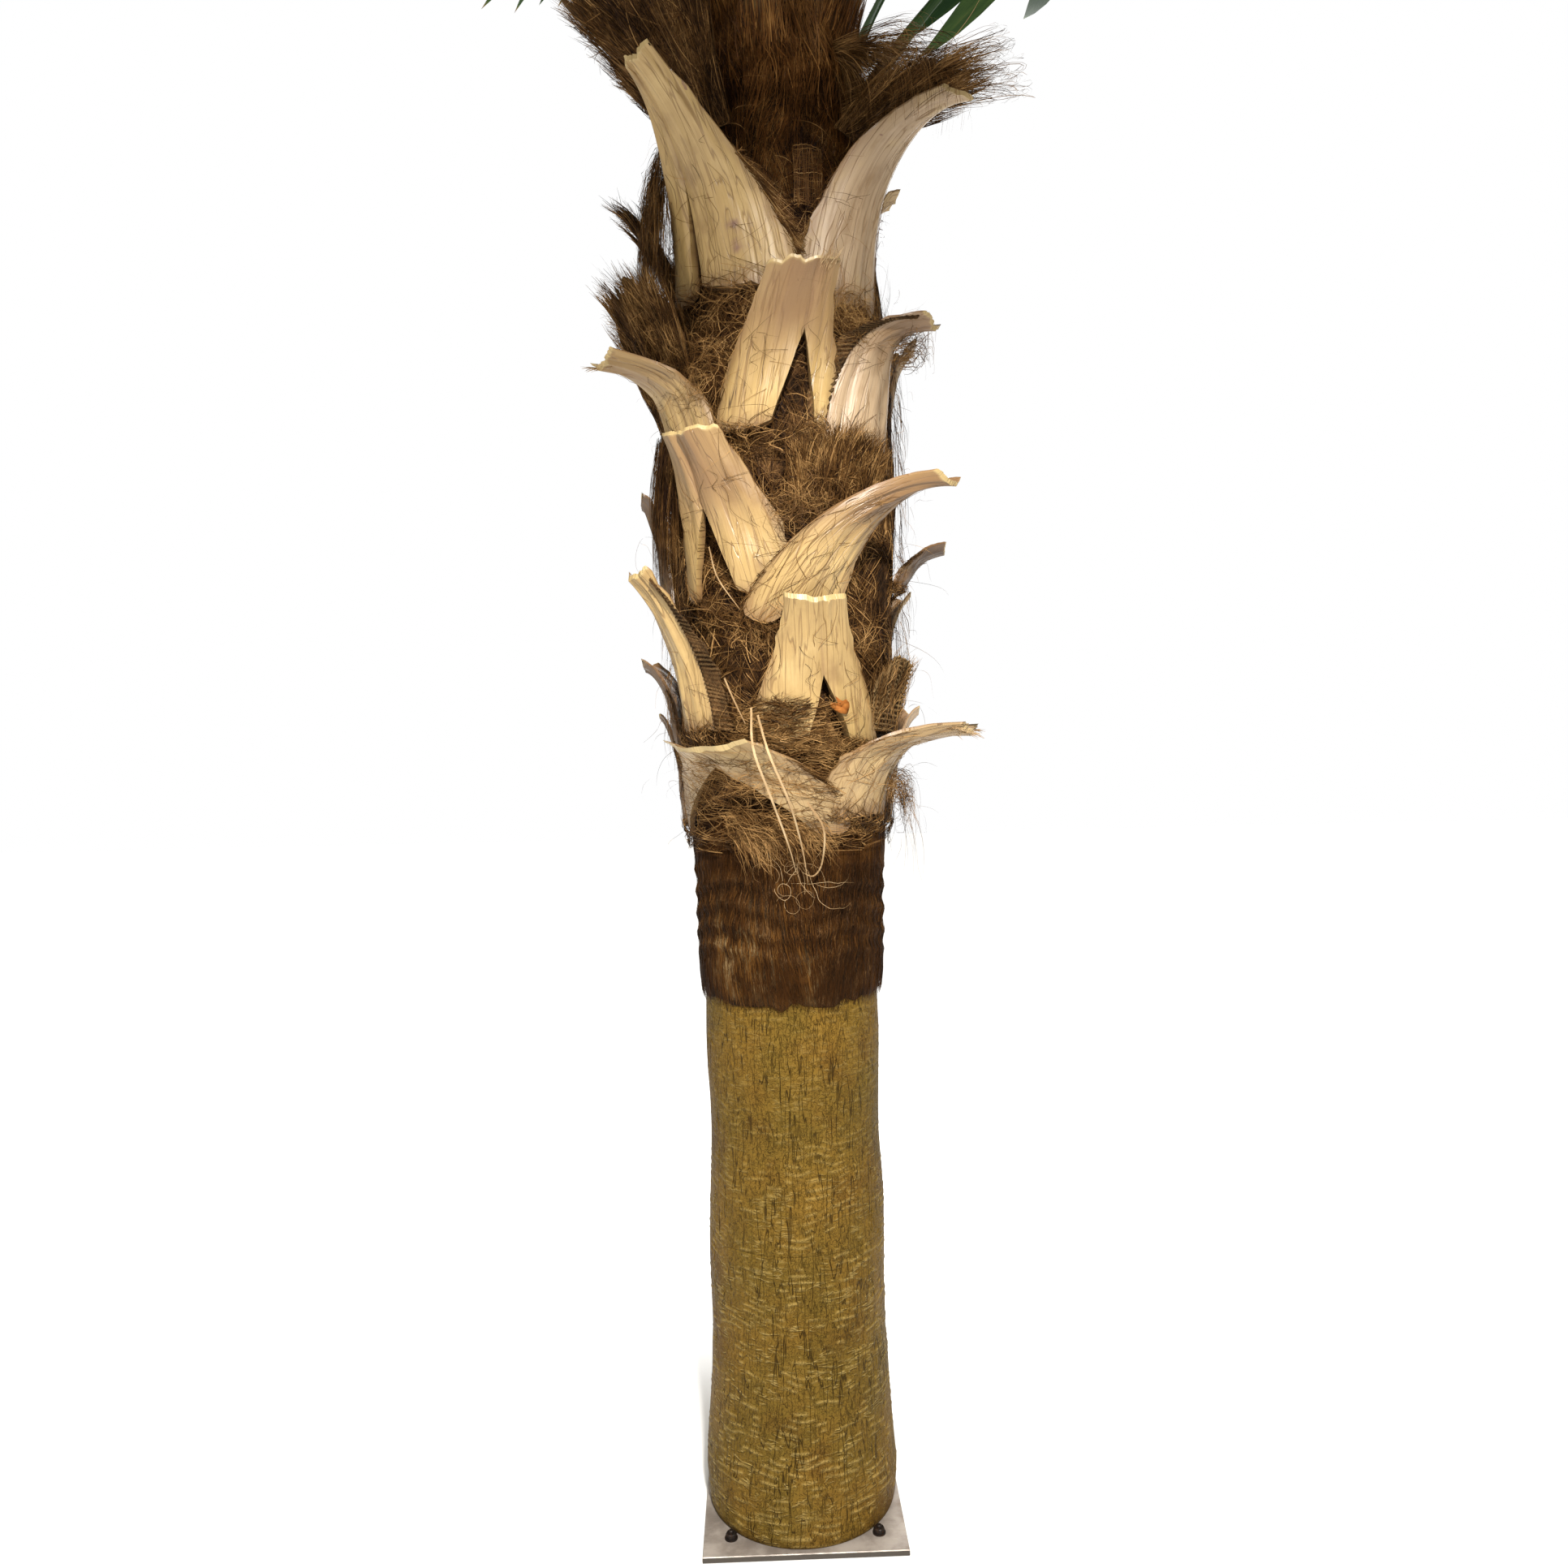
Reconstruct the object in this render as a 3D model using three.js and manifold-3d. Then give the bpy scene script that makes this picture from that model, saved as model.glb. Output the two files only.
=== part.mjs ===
// Artificial sabal palm on a square steel base plate. A moulded trunk stands on the plate, a fibre sleeve
// wraps its upper part, cut leaf bases and fibre mats stand off the sleeve, and fan fronds make the crown.
// Millimetres, +Z up, origin at the middle of the plate's underside. A bearing of 0 faces -Y and 90 faces +X.
import * as THREE from "three";
import Module from "manifold-3d";
import { mergeVertices } from "three/addons/utils/BufferGeometryUtils.js";

const wasm = await Module();
wasm.setup();

// Driving dimensions
const GAP = 0.3; // clearance between pieces that touch
const SIDES = 36; // facets round the trunk and the sleeve

const PLATE = { side: 400, thickness: 12 };
const BOLT = { offset: 146, acrossFlats: 19, headHeight: 9, washerRadius: 13, washerHeight: 2.5, boss: 5 };

// Trunk outline as [height, radius]: rounded foot, root flare, slight waist, then the core inside the sleeve
const TRUNK_OUTLINE = [
  [12, 186], [40, 195], [90, 198], [230, 187], [370, 180], [510, 184], [640, 180], [770, 177], [980, 181],
  [1060, 180], [1500, 176], [2100, 165], [2650, 145], [2850, 125], [3050, 98], [3200, 80], [3300, 52],
  [3345, 20],
];
// Outside of the fibre sleeve as [height, radius], from its hem to the heart of the crown
const SLEEVE_OUTLINE = [
  [1060, 184.5], [1110, 190], [1300, 193], [1420, 201], [1600, 213], [1850, 223], [2150, 229.5], [2300, 229],
  [2450, 215], [2650, 182], [2790, 168], [2900, 165], [3050, 142], [3200, 118],
];

// Cut leaf bases that face the front. turn and lean are bearings in degrees of the foot and from foot to cut,
// foot and cut are heights, reach is the cut's distance from the trunk's axis, arch levels the tip off and
// taper keeps the width for longer.
const LEAF_BASE_SIZES = [
  "turn", "lean", "foot", "cut", "reach", "footWidth", "cutWidth", "arch", "flare", "taper",
];
const FRONT_LEAF_BASES = [
  [-23, -6, 1395, 1552, 360, 235, 155, 1.6, 1.6, 1],
  [36.5, 23.5, 1425, 1592, 410, 145, 78, 2.8, 1.7, 1],
  [-52, -6.5, 1600, 1905, 350, 105, 70, 1.1, 2.2, 1],
  [15.5, -5.5, 1560, 1840, 310, 225, 125, 1.0, 2.4, 1],
  [-105, -5, 1560, 1755, 320, 130, 70, 1.5, 2.0, 1],
  [-29, -8, 1860, 2165, 320, 165, 135, 1.0, 2.4, 1.3],
  [5, 52, 1785, 2070, 390, 170, 80, 1.7, 1.8, 1],
  [85, 8, 1885, 1982, 345, 110, 42, 2.2, 1.5, 1],
  [-50, -7, 2115, 2300, 415, 130, 84, 2.7, 1.9, 1],
  [-5, 14, 2165, 2465, 310, 180, 140, 1.0, 2.4, 1.3],
  [37, 26.5, 2120, 2395, 345, 145, 70, 2.5, 2.4, 1],
  [-27.5, -15.5, 2445, 2845, 400, 280, 80, 1.1, 1.7, 1.05],
  [32, 35, 2405, 2840, 420, 150, 62, 1.5, 1.9, 1.3],
].map((row) => Object.fromEntries(LEAF_BASE_SIZES.map((size, column) => [size, row[column]])));
// Rows that carry the same pattern round the back: bearings from one side of the row's gap to the other
const BACK_ROWS = [
  { from: 110, to: 250, count: 3, foot: 1410, cut: 1600 },
  { from: 128, to: 195, count: 2, foot: 1585, cut: 1865 },
  { from: 145, to: 265, count: 3, foot: 1815, cut: 2115 },
  { from: 125, to: 250, count: 3, foot: 2130, cut: 2400 },
  { from: 130, to: 205, count: 2, foot: 2452, cut: 2790 },
];
const BACK_LEAF_BASE = { reach: 385, sideReach: 295, footWidth: 135, cutWidth: 86, arch: 1.5, flare: 2.0 };
const BACK_VARIATION = { lean: 16, cut: 50 };
const LEAF_BASE = { thickness: 17, edge: 4, gutter: 16, splitHeight: 0.5, splitWidth: 0.2, rows: 6, seed: 7 };
const LEAN_POWER = 1.2; // a leaf base leans over a little later than it rises

// Fibre mats: five make the funnel under the crown, the rest flare between the leaf bases
const FIBRE_MATS = [
  { turn: -60, span: 62, foot: 2795, cut: 3085, reach: 450 },
  { turn: 62, span: 36, foot: 2792, cut: 2870, reach: 468 },
  { turn: 123, span: 44, foot: 2795, cut: 3060, reach: 375 },
  { turn: 180, span: 58, foot: 2795, cut: 3070, reach: 420 },
  { turn: 238, span: 46, foot: 2795, cut: 3085, reach: 375 },
  { turn: -60, span: 56, foot: 2215, cut: 2475, reach: 365 },
  { turn: 24, span: 40, foot: 2010, cut: 2150, reach: 290 },
  { turn: 65, span: 34, foot: 1600, cut: 1740, reach: 262 },
  { turn: 156, span: 24, foot: 2215, cut: 2470, reach: 350 },
  { turn: -100, span: 36, foot: 2490, cut: 2720, reach: 335 },
];
const MAT = { thickness: 8, edge: 5, arch: 1.15, flare: 1.35, rows: 4, columns: 6, ragged: 26 };

// Crown: fronds climb the heart by the golden angle, the oldest lowest and flattest
const CROWN = {
  count: 15, firstTurn: 78, goldenAngle: 137.508, firstFoot: 2890, footStep: 18.4,
  firstElevation: 44.5, lastElevation: 82.8, lean: 9, roll: 2.6,
};
const PETIOLE = {
  length: 930, longer: 8.9, footWidth: 72, endWidth: 30, thickness: 17, edge: 9, rows: 6,
  kneeOut: 0.3, kneeUp: 0.5, footShare: 0.4, rowPower: 1.3, insert: 90,
};
const BLADE = {
  length: 830, shorter: 22.3, spread: 116.6, youngSpread: 37.2, leaflets: 11, split: 0.42, heart: 24,
  thickness: 9, pleat: 11, fold: 0.38, bend: 55.5, droop: 0.16, side: 0.6, shoulder: 0.79,
};
const SPEAR = { height: 1020, radius: 24, neck: 12, belly: 0.45, tip: 2 };

const PAINT = {
  steel: { color: 0x8f8983, roughness: 0.4, metalness: 0.9 },
  bolt: { color: 0x2a211c, roughness: 0.6, metalness: 0.7 },
  bark: { color: 0x8a6d2c, roughness: 0.6, metalness: 0 },
  fibre: { color: 0x5a3a1e, roughness: 0.95, metalness: 0 },
  leafBase: { color: 0xc8a468, roughness: 0.5, metalness: 0 },
  frond: { color: 0x1d4a26, roughness: 0.45, metalness: 0 },
};

const palm = new THREE.Group();

function addPiece(name, geometry, paint) {
  const mesh = new THREE.Mesh(geometry, new THREE.MeshStandardMaterial(paint));
  mesh.name = name;
  palm.add(mesh);
  return mesh;
}

const numbered = (stem, index) => `${stem}_${String(index + 1).padStart(2, "0")}`;
const radians = (degrees) => THREE.MathUtils.degToRad(degrees);
const mix = THREE.MathUtils.lerp;
const smooth = (t) => THREE.MathUtils.smoothstep(t, 0, 1);

// A repeatable share from -1 to 1 for a piece and a trait
const share = (piece, trait) => (Math.sin(piece * 12.99 + trait * 78.23 + LEAF_BASE.seed) * 43758.55) % 1;

// Radius of an outline of [height, radius] points at a height
function radiusAt(outline, height) {
  const next = Math.max(1, outline.findIndex(([z]) => z >= height));
  const [[z0, r0], [z1, r1]] = [outline[next - 1], outline[next]];
  return THREE.MathUtils.mapLinear(THREE.MathUtils.clamp(height, z0, z1), z0, z1, r0, r1);
}

// A point at a distance from the trunk's axis, on a bearing in radians
const onBearing = (radius, bearing, height) =>
  new THREE.Vector3(radius * Math.sin(bearing), -radius * Math.cos(bearing), height);

// A solid of revolution about Z from [height, radius] points
function turned(points, sides) {
  const profile = points.map(([height, radius]) => new THREE.Vector2(radius, height));
  return new THREE.LatheGeometry(profile, sides).rotateX(Math.PI / 2);
}

// A closed solid between two matching skins. Faces index both, and every edge used once gets a rim.
function solidBetween(outer, inner, faces) {
  const positions = [];
  const put = (...points) => points.forEach((point) => positions.push(point.x, point.y, point.z));
  const open = new Map();
  for (const [a, b, c] of faces) {
    put(outer[a], outer[b], outer[c], inner[c], inner[b], inner[a]);
    for (const [p, q] of [[a, b], [b, c], [c, a]]) {
      if (!open.delete(`${q},${p}`)) open.set(`${p},${q}`, [p, q]);
    }
  }
  for (const [p, q] of open.values()) {
    put(outer[q], outer[p], inner[p], outer[q], inner[p], inner[q]);
  }
  return new THREE.BufferGeometry().setAttribute("position", new THREE.Float32BufferAttribute(positions, 3));
}

// A geometry as a manifold solid, and back
function toManifold(geometry) {
  const bare = new THREE.BufferGeometry().setAttribute("position", geometry.getAttribute("position"));
  const merged = mergeVertices(bare, 1e-3);
  const mesh = new wasm.Mesh({
    numProp: 3,
    vertProperties: merged.attributes.position.array,
    triVerts: new Uint32Array(merged.index.array),
  });
  return new wasm.Manifold(mesh);
}

function fromManifold(solid) {
  const { vertProperties, triVerts } = solid.getMesh();
  return new THREE.BufferGeometry()
    .setAttribute("position", new THREE.BufferAttribute(vertProperties, 3))
    .setIndex(new THREE.BufferAttribute(triVerts, 1));
}

// Two triangles for each quad of a grid whose corner numbers come from id(row, column)
function gridFaces(rows, firstColumn, lastColumn, id) {
  const faces = [];
  for (let row = 0; row < rows; row++) {
    for (let column = firstColumn; column < lastColumn; column++) {
      const [a, b] = [id(row, column), id(row, column + 1)];
      const [c, d] = [id(row + 1, column + 1), id(row + 1, column)];
      faces.push([a, b, c], [a, c, d]);
    }
  }
  return faces;
}

// A strap that rises from the sleeve and flares away from it. shape gives its centreline and section:
// radius, height, bearing and width at u from 0 at the foot to 1 at the end, depth(u, v) its thickness and
// dish(u, v) how far its section sinks towards the trunk at v from -1 to 1 across.
function strapPoint(shape, u, v, outside) {
  const step = 0.01;
  const [lower, upper] = [Math.max(0, u - step), Math.min(1, u + step)];
  const along = new THREE.Vector2(
    shape.radius(upper) - shape.radius(lower),
    shape.height(upper) - shape.height(lower),
  ).normalize();
  const depth = (outside ? shape.depth(u, v) : 0) - shape.dish(u, v);
  const radius = shape.radius(u) + along.y * depth;
  const bearing = shape.bearing(u) + (v * shape.width(u)) / 2 / shape.radius(u);
  return onBearing(radius, bearing, shape.height(u) - along.x * depth);
}

// How far a flat facet of a strap cuts inside the round sleeve
const facetSag = (radius, facetWidth) => radius * (1 - Math.cos(facetWidth / 2 / radius));

// Curves of a strap that follows the sleeve at its foot and leaves it towards its reach
function strapShape(sizes) {
  const { turn, lean = 0, foot, cut, reach, footWidth, cutWidth, arch, flare, taper = 1, facets } = sizes;
  const height = (u) => mix(foot, cut, 1 - (1 - u) ** arch);
  const seat = GAP + facetSag(radiusAt(SLEEVE_OUTLINE, foot), footWidth / facets);
  const away = reach - radiusAt(SLEEVE_OUTLINE, cut) - seat;
  return {
    height,
    radius: (u) => radiusAt(SLEEVE_OUTLINE, height(u)) + seat + away * u ** flare,
    bearing: (u) => radians(turn + lean * u ** LEAN_POWER),
    width: (u) => mix(footWidth, cutWidth, smooth(u ** taper)),
  };
}

// A cut leaf base: a gutter-shaped strap whose foot is split in two by a narrow arch
function leafBase(sizes) {
  const { thickness, edge, gutter, splitHeight, splitWidth, rows } = LEAF_BASE;
  const shape = strapShape({ ...sizes, facets: 4 });
  shape.depth = (u, v) => mix(thickness, edge, v * v);
  shape.dish = (u, v) => gutter * u * u * v * v;
  const splitRow = Math.round(rows * splitHeight);
  const acrossLimb = [1, 0.55, 0];
  const columns = acrossLimb.length;
  const [outer, inner] = [[], []];
  for (let row = 0; row <= rows; row++) {
    const u = row / rows;
    const gap = splitWidth * Math.max(0, 1 - row / splitRow);
    const half = acrossLimb.map((share) => Math.max(share, gap));
    for (const v of [...half.map((h) => -h), ...half.toReversed()]) {
      outer.push(strapPoint(shape, u, v, true));
      inner.push(strapPoint(shape, u, v, false));
    }
  }
  const id = (row, column) => {
    const joined = row >= splitRow && column === columns ? column - 1 : column;
    return row * 2 * columns + joined;
  };
  const faces = [
    ...gridFaces(rows, 0, columns - 1, id),
    ...gridFaces(rows, columns, 2 * columns - 1, id),
  ];
  return solidBetween(outer, inner, faces);
}

// A fibre mat: a thin sheet that wraps part of the sleeve and flares out to a ragged rim
function fibreMat({ span, ...place }) {
  const { thickness, edge, arch, flare, rows, columns, ragged } = MAT;
  const width = radians(span) * radiusAt(SLEEVE_OUTLINE, place.foot);
  const rimWidth = radians(span) * place.reach;
  const shape = strapShape({ ...place, footWidth: width, cutWidth: rimWidth, arch, flare, facets: columns });
  shape.depth = (u, v) => mix(thickness, edge, u * Math.abs(v));
  shape.dish = () => 0;
  const [outer, inner] = [[], []];
  for (let row = 0; row <= rows; row++) {
    for (let column = 0; column <= columns; column++) {
      const v = mix(-1, 1, column / columns);
      const notch = (column % 2) * (ragged / (place.cut - place.foot));
      const u = Math.min(row / rows, 1 - notch * (row / rows));
      outer.push(strapPoint(shape, u, v, true));
      inner.push(strapPoint(shape, u, v, false));
    }
  }
  const id = (row, column) => row * (columns + 1) + column;
  return solidBetween(outer, inner, gridFaces(rows, 0, columns, id));
}

// Where frond number index stands: its bearing, foot, elevation and the end of its petiole
function frondPlace(index) {
  const age = index / (CROWN.count - 1);
  const turn = CROWN.firstTurn + CROWN.goldenAngle * index;
  const foot = CROWN.firstFoot + CROWN.footStep * index;
  const toFront = Math.cos(radians(turn));
  const elevation = mix(CROWN.firstElevation, CROWN.lastElevation, age) - CROWN.lean * toFront;
  const reach = PETIOLE.length + PETIOLE.longer * index;
  const start = new THREE.Vector2(radiusAt(SLEEVE_OUTLINE, foot), foot);
  const end = new THREE.Vector2(Math.cos(radians(elevation)), Math.sin(radians(elevation)))
    .multiplyScalar(reach)
    .add(start);
  const knee = new THREE.Vector2(mix(start.x, end.x, PETIOLE.kneeOut), mix(start.y, end.y, PETIOLE.kneeUp));
  return { age, turn, start, knee, end, roll: index % 2 ? CROWN.roll : -CROWN.roll };
}

// The petiole: a clasping foot on the heart that narrows to a bar and runs on under the blade
function petiole({ turn, start, knee, end }) {
  const { footWidth, endWidth, thickness, edge, rows, footShare, rowPower, insert } = PETIOLE;
  const tail = end.clone().sub(knee).setLength(insert).add(end);
  const curve = new THREE.QuadraticBezierCurve(start, knee, tail);
  const seat = GAP + facetSag(start.x, footWidth / 2);
  const shape = {
    radius: (u) => curve.getPoint(u).x + seat,
    height: (u) => curve.getPoint(u).y,
    bearing: () => radians(turn),
    width: (u) => mix(footWidth, endWidth, smooth(Math.min(1, u / footShare))),
    depth: (u, v) => mix(thickness, edge, v * v),
    dish: () => 0,
  };
  const across = [-1, 0, 1];
  const [outer, inner] = [[], []];
  for (let row = 0; row <= rows; row++) {
    const u = (row / rows) ** rowPower;
    for (const v of across) {
      outer.push(strapPoint(shape, u, v, true));
      inner.push(strapPoint(shape, u, v, false));
    }
  }
  const id = (row, column) => row * across.length + column;
  return solidBetween(outer, inner, gridFaces(rows, 0, across.length - 1, id));
}

// The blade's own directions: along the rib, across the fan and out of its upper face
function bladeFrame({ turn, knee, end, roll }) {
  const out = onBearing(1, radians(turn), 0);
  const rise = Math.atan2(end.y - knee.y, end.x - knee.x);
  const up = new THREE.Vector3(0, 0, 1);
  const along = out.clone().multiplyScalar(Math.cos(rise)).addScaledVector(up, Math.sin(rise));
  const level = new THREE.Vector3(Math.cos(radians(turn)), Math.sin(radians(turn)), 0);
  const across = level.applyAxisAngle(along, radians(roll));
  const face = new THREE.Vector3().crossVectors(along, across).normalize();
  return { along, across, face, up };
}

// A point of the fan: distance out from the heart of the leaf, angle from the rib, lift above the leaf
function bladePoint(frame, root, length, distance, angle, lift) {
  const reach = distance * Math.cos(angle);
  const sideways = distance * Math.sin(angle);
  const curl = (radians(BLADE.bend) * Math.max(0, reach)) / length;
  const radius = length / radians(BLADE.bend);
  const forward = reach > 0 ? radius * Math.sin(curl) : reach;
  const sink = reach > 0 ? radius * (1 - Math.cos(curl)) : 0;
  const hang = BLADE.droop * length * (distance / length) ** 3;
  return root
    .clone()
    .addScaledVector(frame.along, forward)
    .addScaledVector(frame.across, sideways)
    .addScaledVector(frame.face, lift - sink + BLADE.fold * Math.abs(sideways))
    .addScaledVector(frame.up, -hang);
}

// The fan: a pleated palm out to the split, then one pointed leaflet beyond each pleat
function blade(place, index) {
  const { leaflets, split, heart, thickness, pleat, side, shoulder } = BLADE;
  const frame = bladeFrame(place);
  const length = BLADE.length - BLADE.shorter * index;
  const spread = radians(mix(BLADE.spread, BLADE.youngSpread, place.age ** 2));
  const root = onBearing(place.end.x, radians(place.turn), place.end.y);
  const rays = 2 * leaflets + 1;
  const [outer, inner] = [[], []];
  const add = (distance, angle, lift) => {
    outer.push(bladePoint(frame, root, length, distance, angle, lift));
    inner.push(bladePoint(frame, root, length, distance, angle, lift - thickness));
    return outer.length - 1;
  };
  const tipDistance = (angle) => length * mix(side, 1, Math.cos(angle / 2) ** 2);
  const rayAngle = (ray) => mix(-spread, spread, ray / (rays - 1));
  const inside = [];
  const shoulderLine = [];
  for (let ray = 0; ray < rays; ray++) {
    const angle = rayAngle(ray);
    const lift = ray % 2 ? pleat : 0;
    inside.push(add(heart, angle, 0));
    shoulderLine.push(add(tipDistance(angle) * split, angle, lift));
  }
  const faces = [];
  for (let ray = 0; ray < rays - 1; ray++) {
    const [a, b, c, d] = [inside[ray], inside[ray + 1], shoulderLine[ray + 1], shoulderLine[ray]];
    faces.push([a, b, c], [a, c, d]);
  }
  const half = (shoulder * split * spread) / leaflets;
  for (let leaflet = 0; leaflet < leaflets; leaflet++) {
    const ridge = 2 * leaflet + 1;
    const angle = rayAngle(ridge);
    const reach = tipDistance(angle);
    const waist = (reach * (1 + split)) / 2;
    const [left, middle, right] = [
      add(waist, angle - half, 0),
      add(waist, angle, pleat),
      add(waist, angle + half, 0),
    ];
    const tip = add(reach, angle, 0);
    const [a, b, c] = [shoulderLine[ridge - 1], shoulderLine[ridge], shoulderLine[ridge + 1]];
    faces.push([a, b, middle], [a, middle, left], [b, c, right], [b, right, middle]);
    faces.push([left, middle, tip], [middle, right, tip]);
  }
  return solidBetween(outer, inner, faces.map(([a, b, c]) => [a, c, b]));
}

// Base plate and its four anchor bolts
const slab = new THREE.BoxGeometry(PLATE.side, PLATE.side, PLATE.thickness);
const plate = addPiece("base_plate", slab, PAINT.steel);
plate.position.z = PLATE.thickness / 2;

const headRadius = BOLT.acrossFlats / Math.sqrt(3);
const headTop = BOLT.washerHeight + BOLT.headHeight;
const boltOutline = [
  [0, 0], [0, BOLT.washerRadius], [BOLT.washerHeight, BOLT.washerRadius], [BOLT.washerHeight, headRadius],
  [headTop, headRadius], [headTop, BOLT.boss], [headTop + BOLT.boss, BOLT.boss], [headTop + BOLT.boss, 0],
];
[[-1, -1], [1, -1], [1, 1], [-1, 1]].forEach(([x, y], index) => {
  const bolt = addPiece(`anchor_bolt_${index + 1}`, turned(boltOutline, 6), PAINT.bolt);
  bolt.position.set(x * BOLT.offset, y * BOLT.offset, PLATE.thickness);
});

// Trunk and fibre sleeve
const [trunkFoot, trunkTip] = [TRUNK_OUTLINE[0], TRUNK_OUTLINE.at(-1)];
addPiece("trunk", turned([[trunkFoot[0], 0], ...TRUNK_OUTLINE, [trunkTip[0], 0]], SIDES), PAINT.bark);

const [hem, collar] = [SLEEVE_OUTLINE[0][0], SLEEVE_OUTLINE.at(-1)[0]];
const covered = TRUNK_OUTLINE.filter(([height]) => height >= hem && height <= collar);
const bore = covered.map(([height, radius]) => [height, radius + GAP]);
addPiece("fibre_sleeve", turned([bore[0], ...SLEEVE_OUTLINE, ...bore.toReversed()], SIDES), PAINT.fibre);

// Cut leaf bases: the front ones as measured, the back ones on evenly spaced bearings with small variations
const backLeafBases = BACK_ROWS.flatMap(({ from, to, count, foot, cut }, row) =>
  Array.from({ length: count }, (_, place) => {
    const piece = row * 5 + place;
    const turn = mix(from, to, place / (count - 1));
    return {
      ...BACK_LEAF_BASE,
      turn,
      lean: BACK_VARIATION.lean * share(piece, 1),
      foot,
      cut: cut + BACK_VARIATION.cut * share(piece, 2),
      reach: mix(BACK_LEAF_BASE.reach, BACK_LEAF_BASE.sideReach, Math.abs(Math.sin(radians(turn)))),
    };
  }),
);
[...FRONT_LEAF_BASES, ...backLeafBases].forEach((sizes, index) => {
  addPiece(numbered("leaf_base", index), leafBase(sizes), PAINT.leafBase);
});

FIBRE_MATS.forEach((sizes, index) => addPiece(`fibre_mat_${index + 1}`, fibreMat(sizes), PAINT.fibre));

// Crown: each frond is its petiole and blade fused, and the unopened spear stands on the trunk's tip
for (let index = 0; index < CROWN.count; index++) {
  const place = frondPlace(index);
  const whole = toManifold(petiole(place)).add(toManifold(blade(place, index)));
  addPiece(numbered("frond", index), fromManifold(whole), PAINT.frond);
}

const spearOutline = [
  [0, 0], [0, SPEAR.neck], [SPEAR.height * SPEAR.belly, SPEAR.radius], [SPEAR.height, SPEAR.tip],
  [SPEAR.height, 0],
];
addPiece("spear_leaf", turned(spearOutline, 8), PAINT.frond).position.z = trunkTip[0] + GAP;

export default palm;
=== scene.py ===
"""Looks of an artificial sabal palm on a steel base plate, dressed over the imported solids.

Metres, +Z up, origin at the middle of the plate's underside. A bearing of 0 faces -Y and 90 faces +X.
"""

from __future__ import annotations

import logging
import math
from dataclasses import dataclass, field
from enum import Enum
from typing import Any, Sequence

import bpy
import numpy as np
from mathutils import Matrix, Vector

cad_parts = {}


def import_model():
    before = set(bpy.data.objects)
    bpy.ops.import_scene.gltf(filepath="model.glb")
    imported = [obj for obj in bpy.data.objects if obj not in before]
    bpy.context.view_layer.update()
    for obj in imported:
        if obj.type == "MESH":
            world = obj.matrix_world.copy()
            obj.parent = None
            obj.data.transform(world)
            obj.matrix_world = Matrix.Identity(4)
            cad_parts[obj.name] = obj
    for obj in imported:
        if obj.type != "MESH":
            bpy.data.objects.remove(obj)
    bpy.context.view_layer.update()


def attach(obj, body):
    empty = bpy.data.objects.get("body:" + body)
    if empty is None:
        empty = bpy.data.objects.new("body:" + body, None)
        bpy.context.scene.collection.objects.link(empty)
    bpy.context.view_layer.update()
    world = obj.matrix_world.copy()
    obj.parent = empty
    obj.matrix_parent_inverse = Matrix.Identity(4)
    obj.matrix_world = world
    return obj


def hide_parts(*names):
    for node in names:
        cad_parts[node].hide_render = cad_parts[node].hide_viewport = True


LOG = logging.getLogger("palm")
MM = 0.001
BODY = "root"
Array = np.ndarray
Colour = tuple[float, float, float]
Stops = tuple[tuple[float, Colour], ...]
Material = bpy.types.Material
Mesh = bpy.types.Mesh
Socket = bpy.types.NodeSocket


# Curves and noise


def ease(value: Array | float) -> Array:
    """Returns a smooth step of value from 0 to 1."""
    clipped = np.clip(value, 0.0, 1.0)
    return clipped * clipped * (3.0 - 2.0 * clipped)


def blend(low: Any, high: Any, share: Any) -> Any:
    """Returns the value that lies share of the way from low to high."""
    return low + (high - low) * share


def stations(count: int) -> Array:
    """Returns even steps from 0 to 1 along a fibre, as a row."""
    return np.linspace(0.0, 1.0, count)[None, :]


def bow(start: float, share: float, along: Array) -> Array:
    """Returns how high a bow stands along a fibre, from start of the bow on for share of it."""
    return np.sin(math.pi * (start + share * along))


def between(height: Array, band: tuple[float, float], rise: float, fall: float) -> Array:
    """Returns 1 in a band of heights, eased in over rise and out over fall."""
    return ease((height - band[0]) / rise) * ease((band[1] - height) / fall)


def spot(bearing: Array, height: Array, place: tuple[float, float], size: tuple[float, float]) -> Array:
    """Returns a soft spot that is 1 at a bearing and a height and fades over its size."""
    turn = (bearing + math.pi) % (2 * math.pi) - math.pi
    return np.exp(-(((turn - place[0]) / size[0]) ** 2) - ((height - place[1]) / size[1]) ** 2)


def on_bearing(radius: Array | float, bearing: Array | float, height: Array | float) -> Array:
    """Turns distances from the trunk's axis, bearings in radians and heights into points.

    Args:
        radius: Distance from the axis in metres.
        bearing: Bearing in radians.
        height: Height in metres.

    Returns:
        The points, with X, Y and Z along the last axis.
    """
    radius, bearing, height = np.broadcast_arrays(radius, bearing, height)
    return np.stack([radius * np.sin(bearing), -radius * np.cos(bearing), height], axis=-1)


@dataclass(frozen=True)
class Outline:
    """Outside of a turned piece, as heights and radii in millimetres."""

    heights: tuple[float, ...]
    radii: tuple[float, ...]

    def at(self, height: Array | float) -> Array:
        """Returns the radius in metres at a height in metres."""
        return np.interp(np.asarray(height) / MM, self.heights, self.radii) * MM


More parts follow.
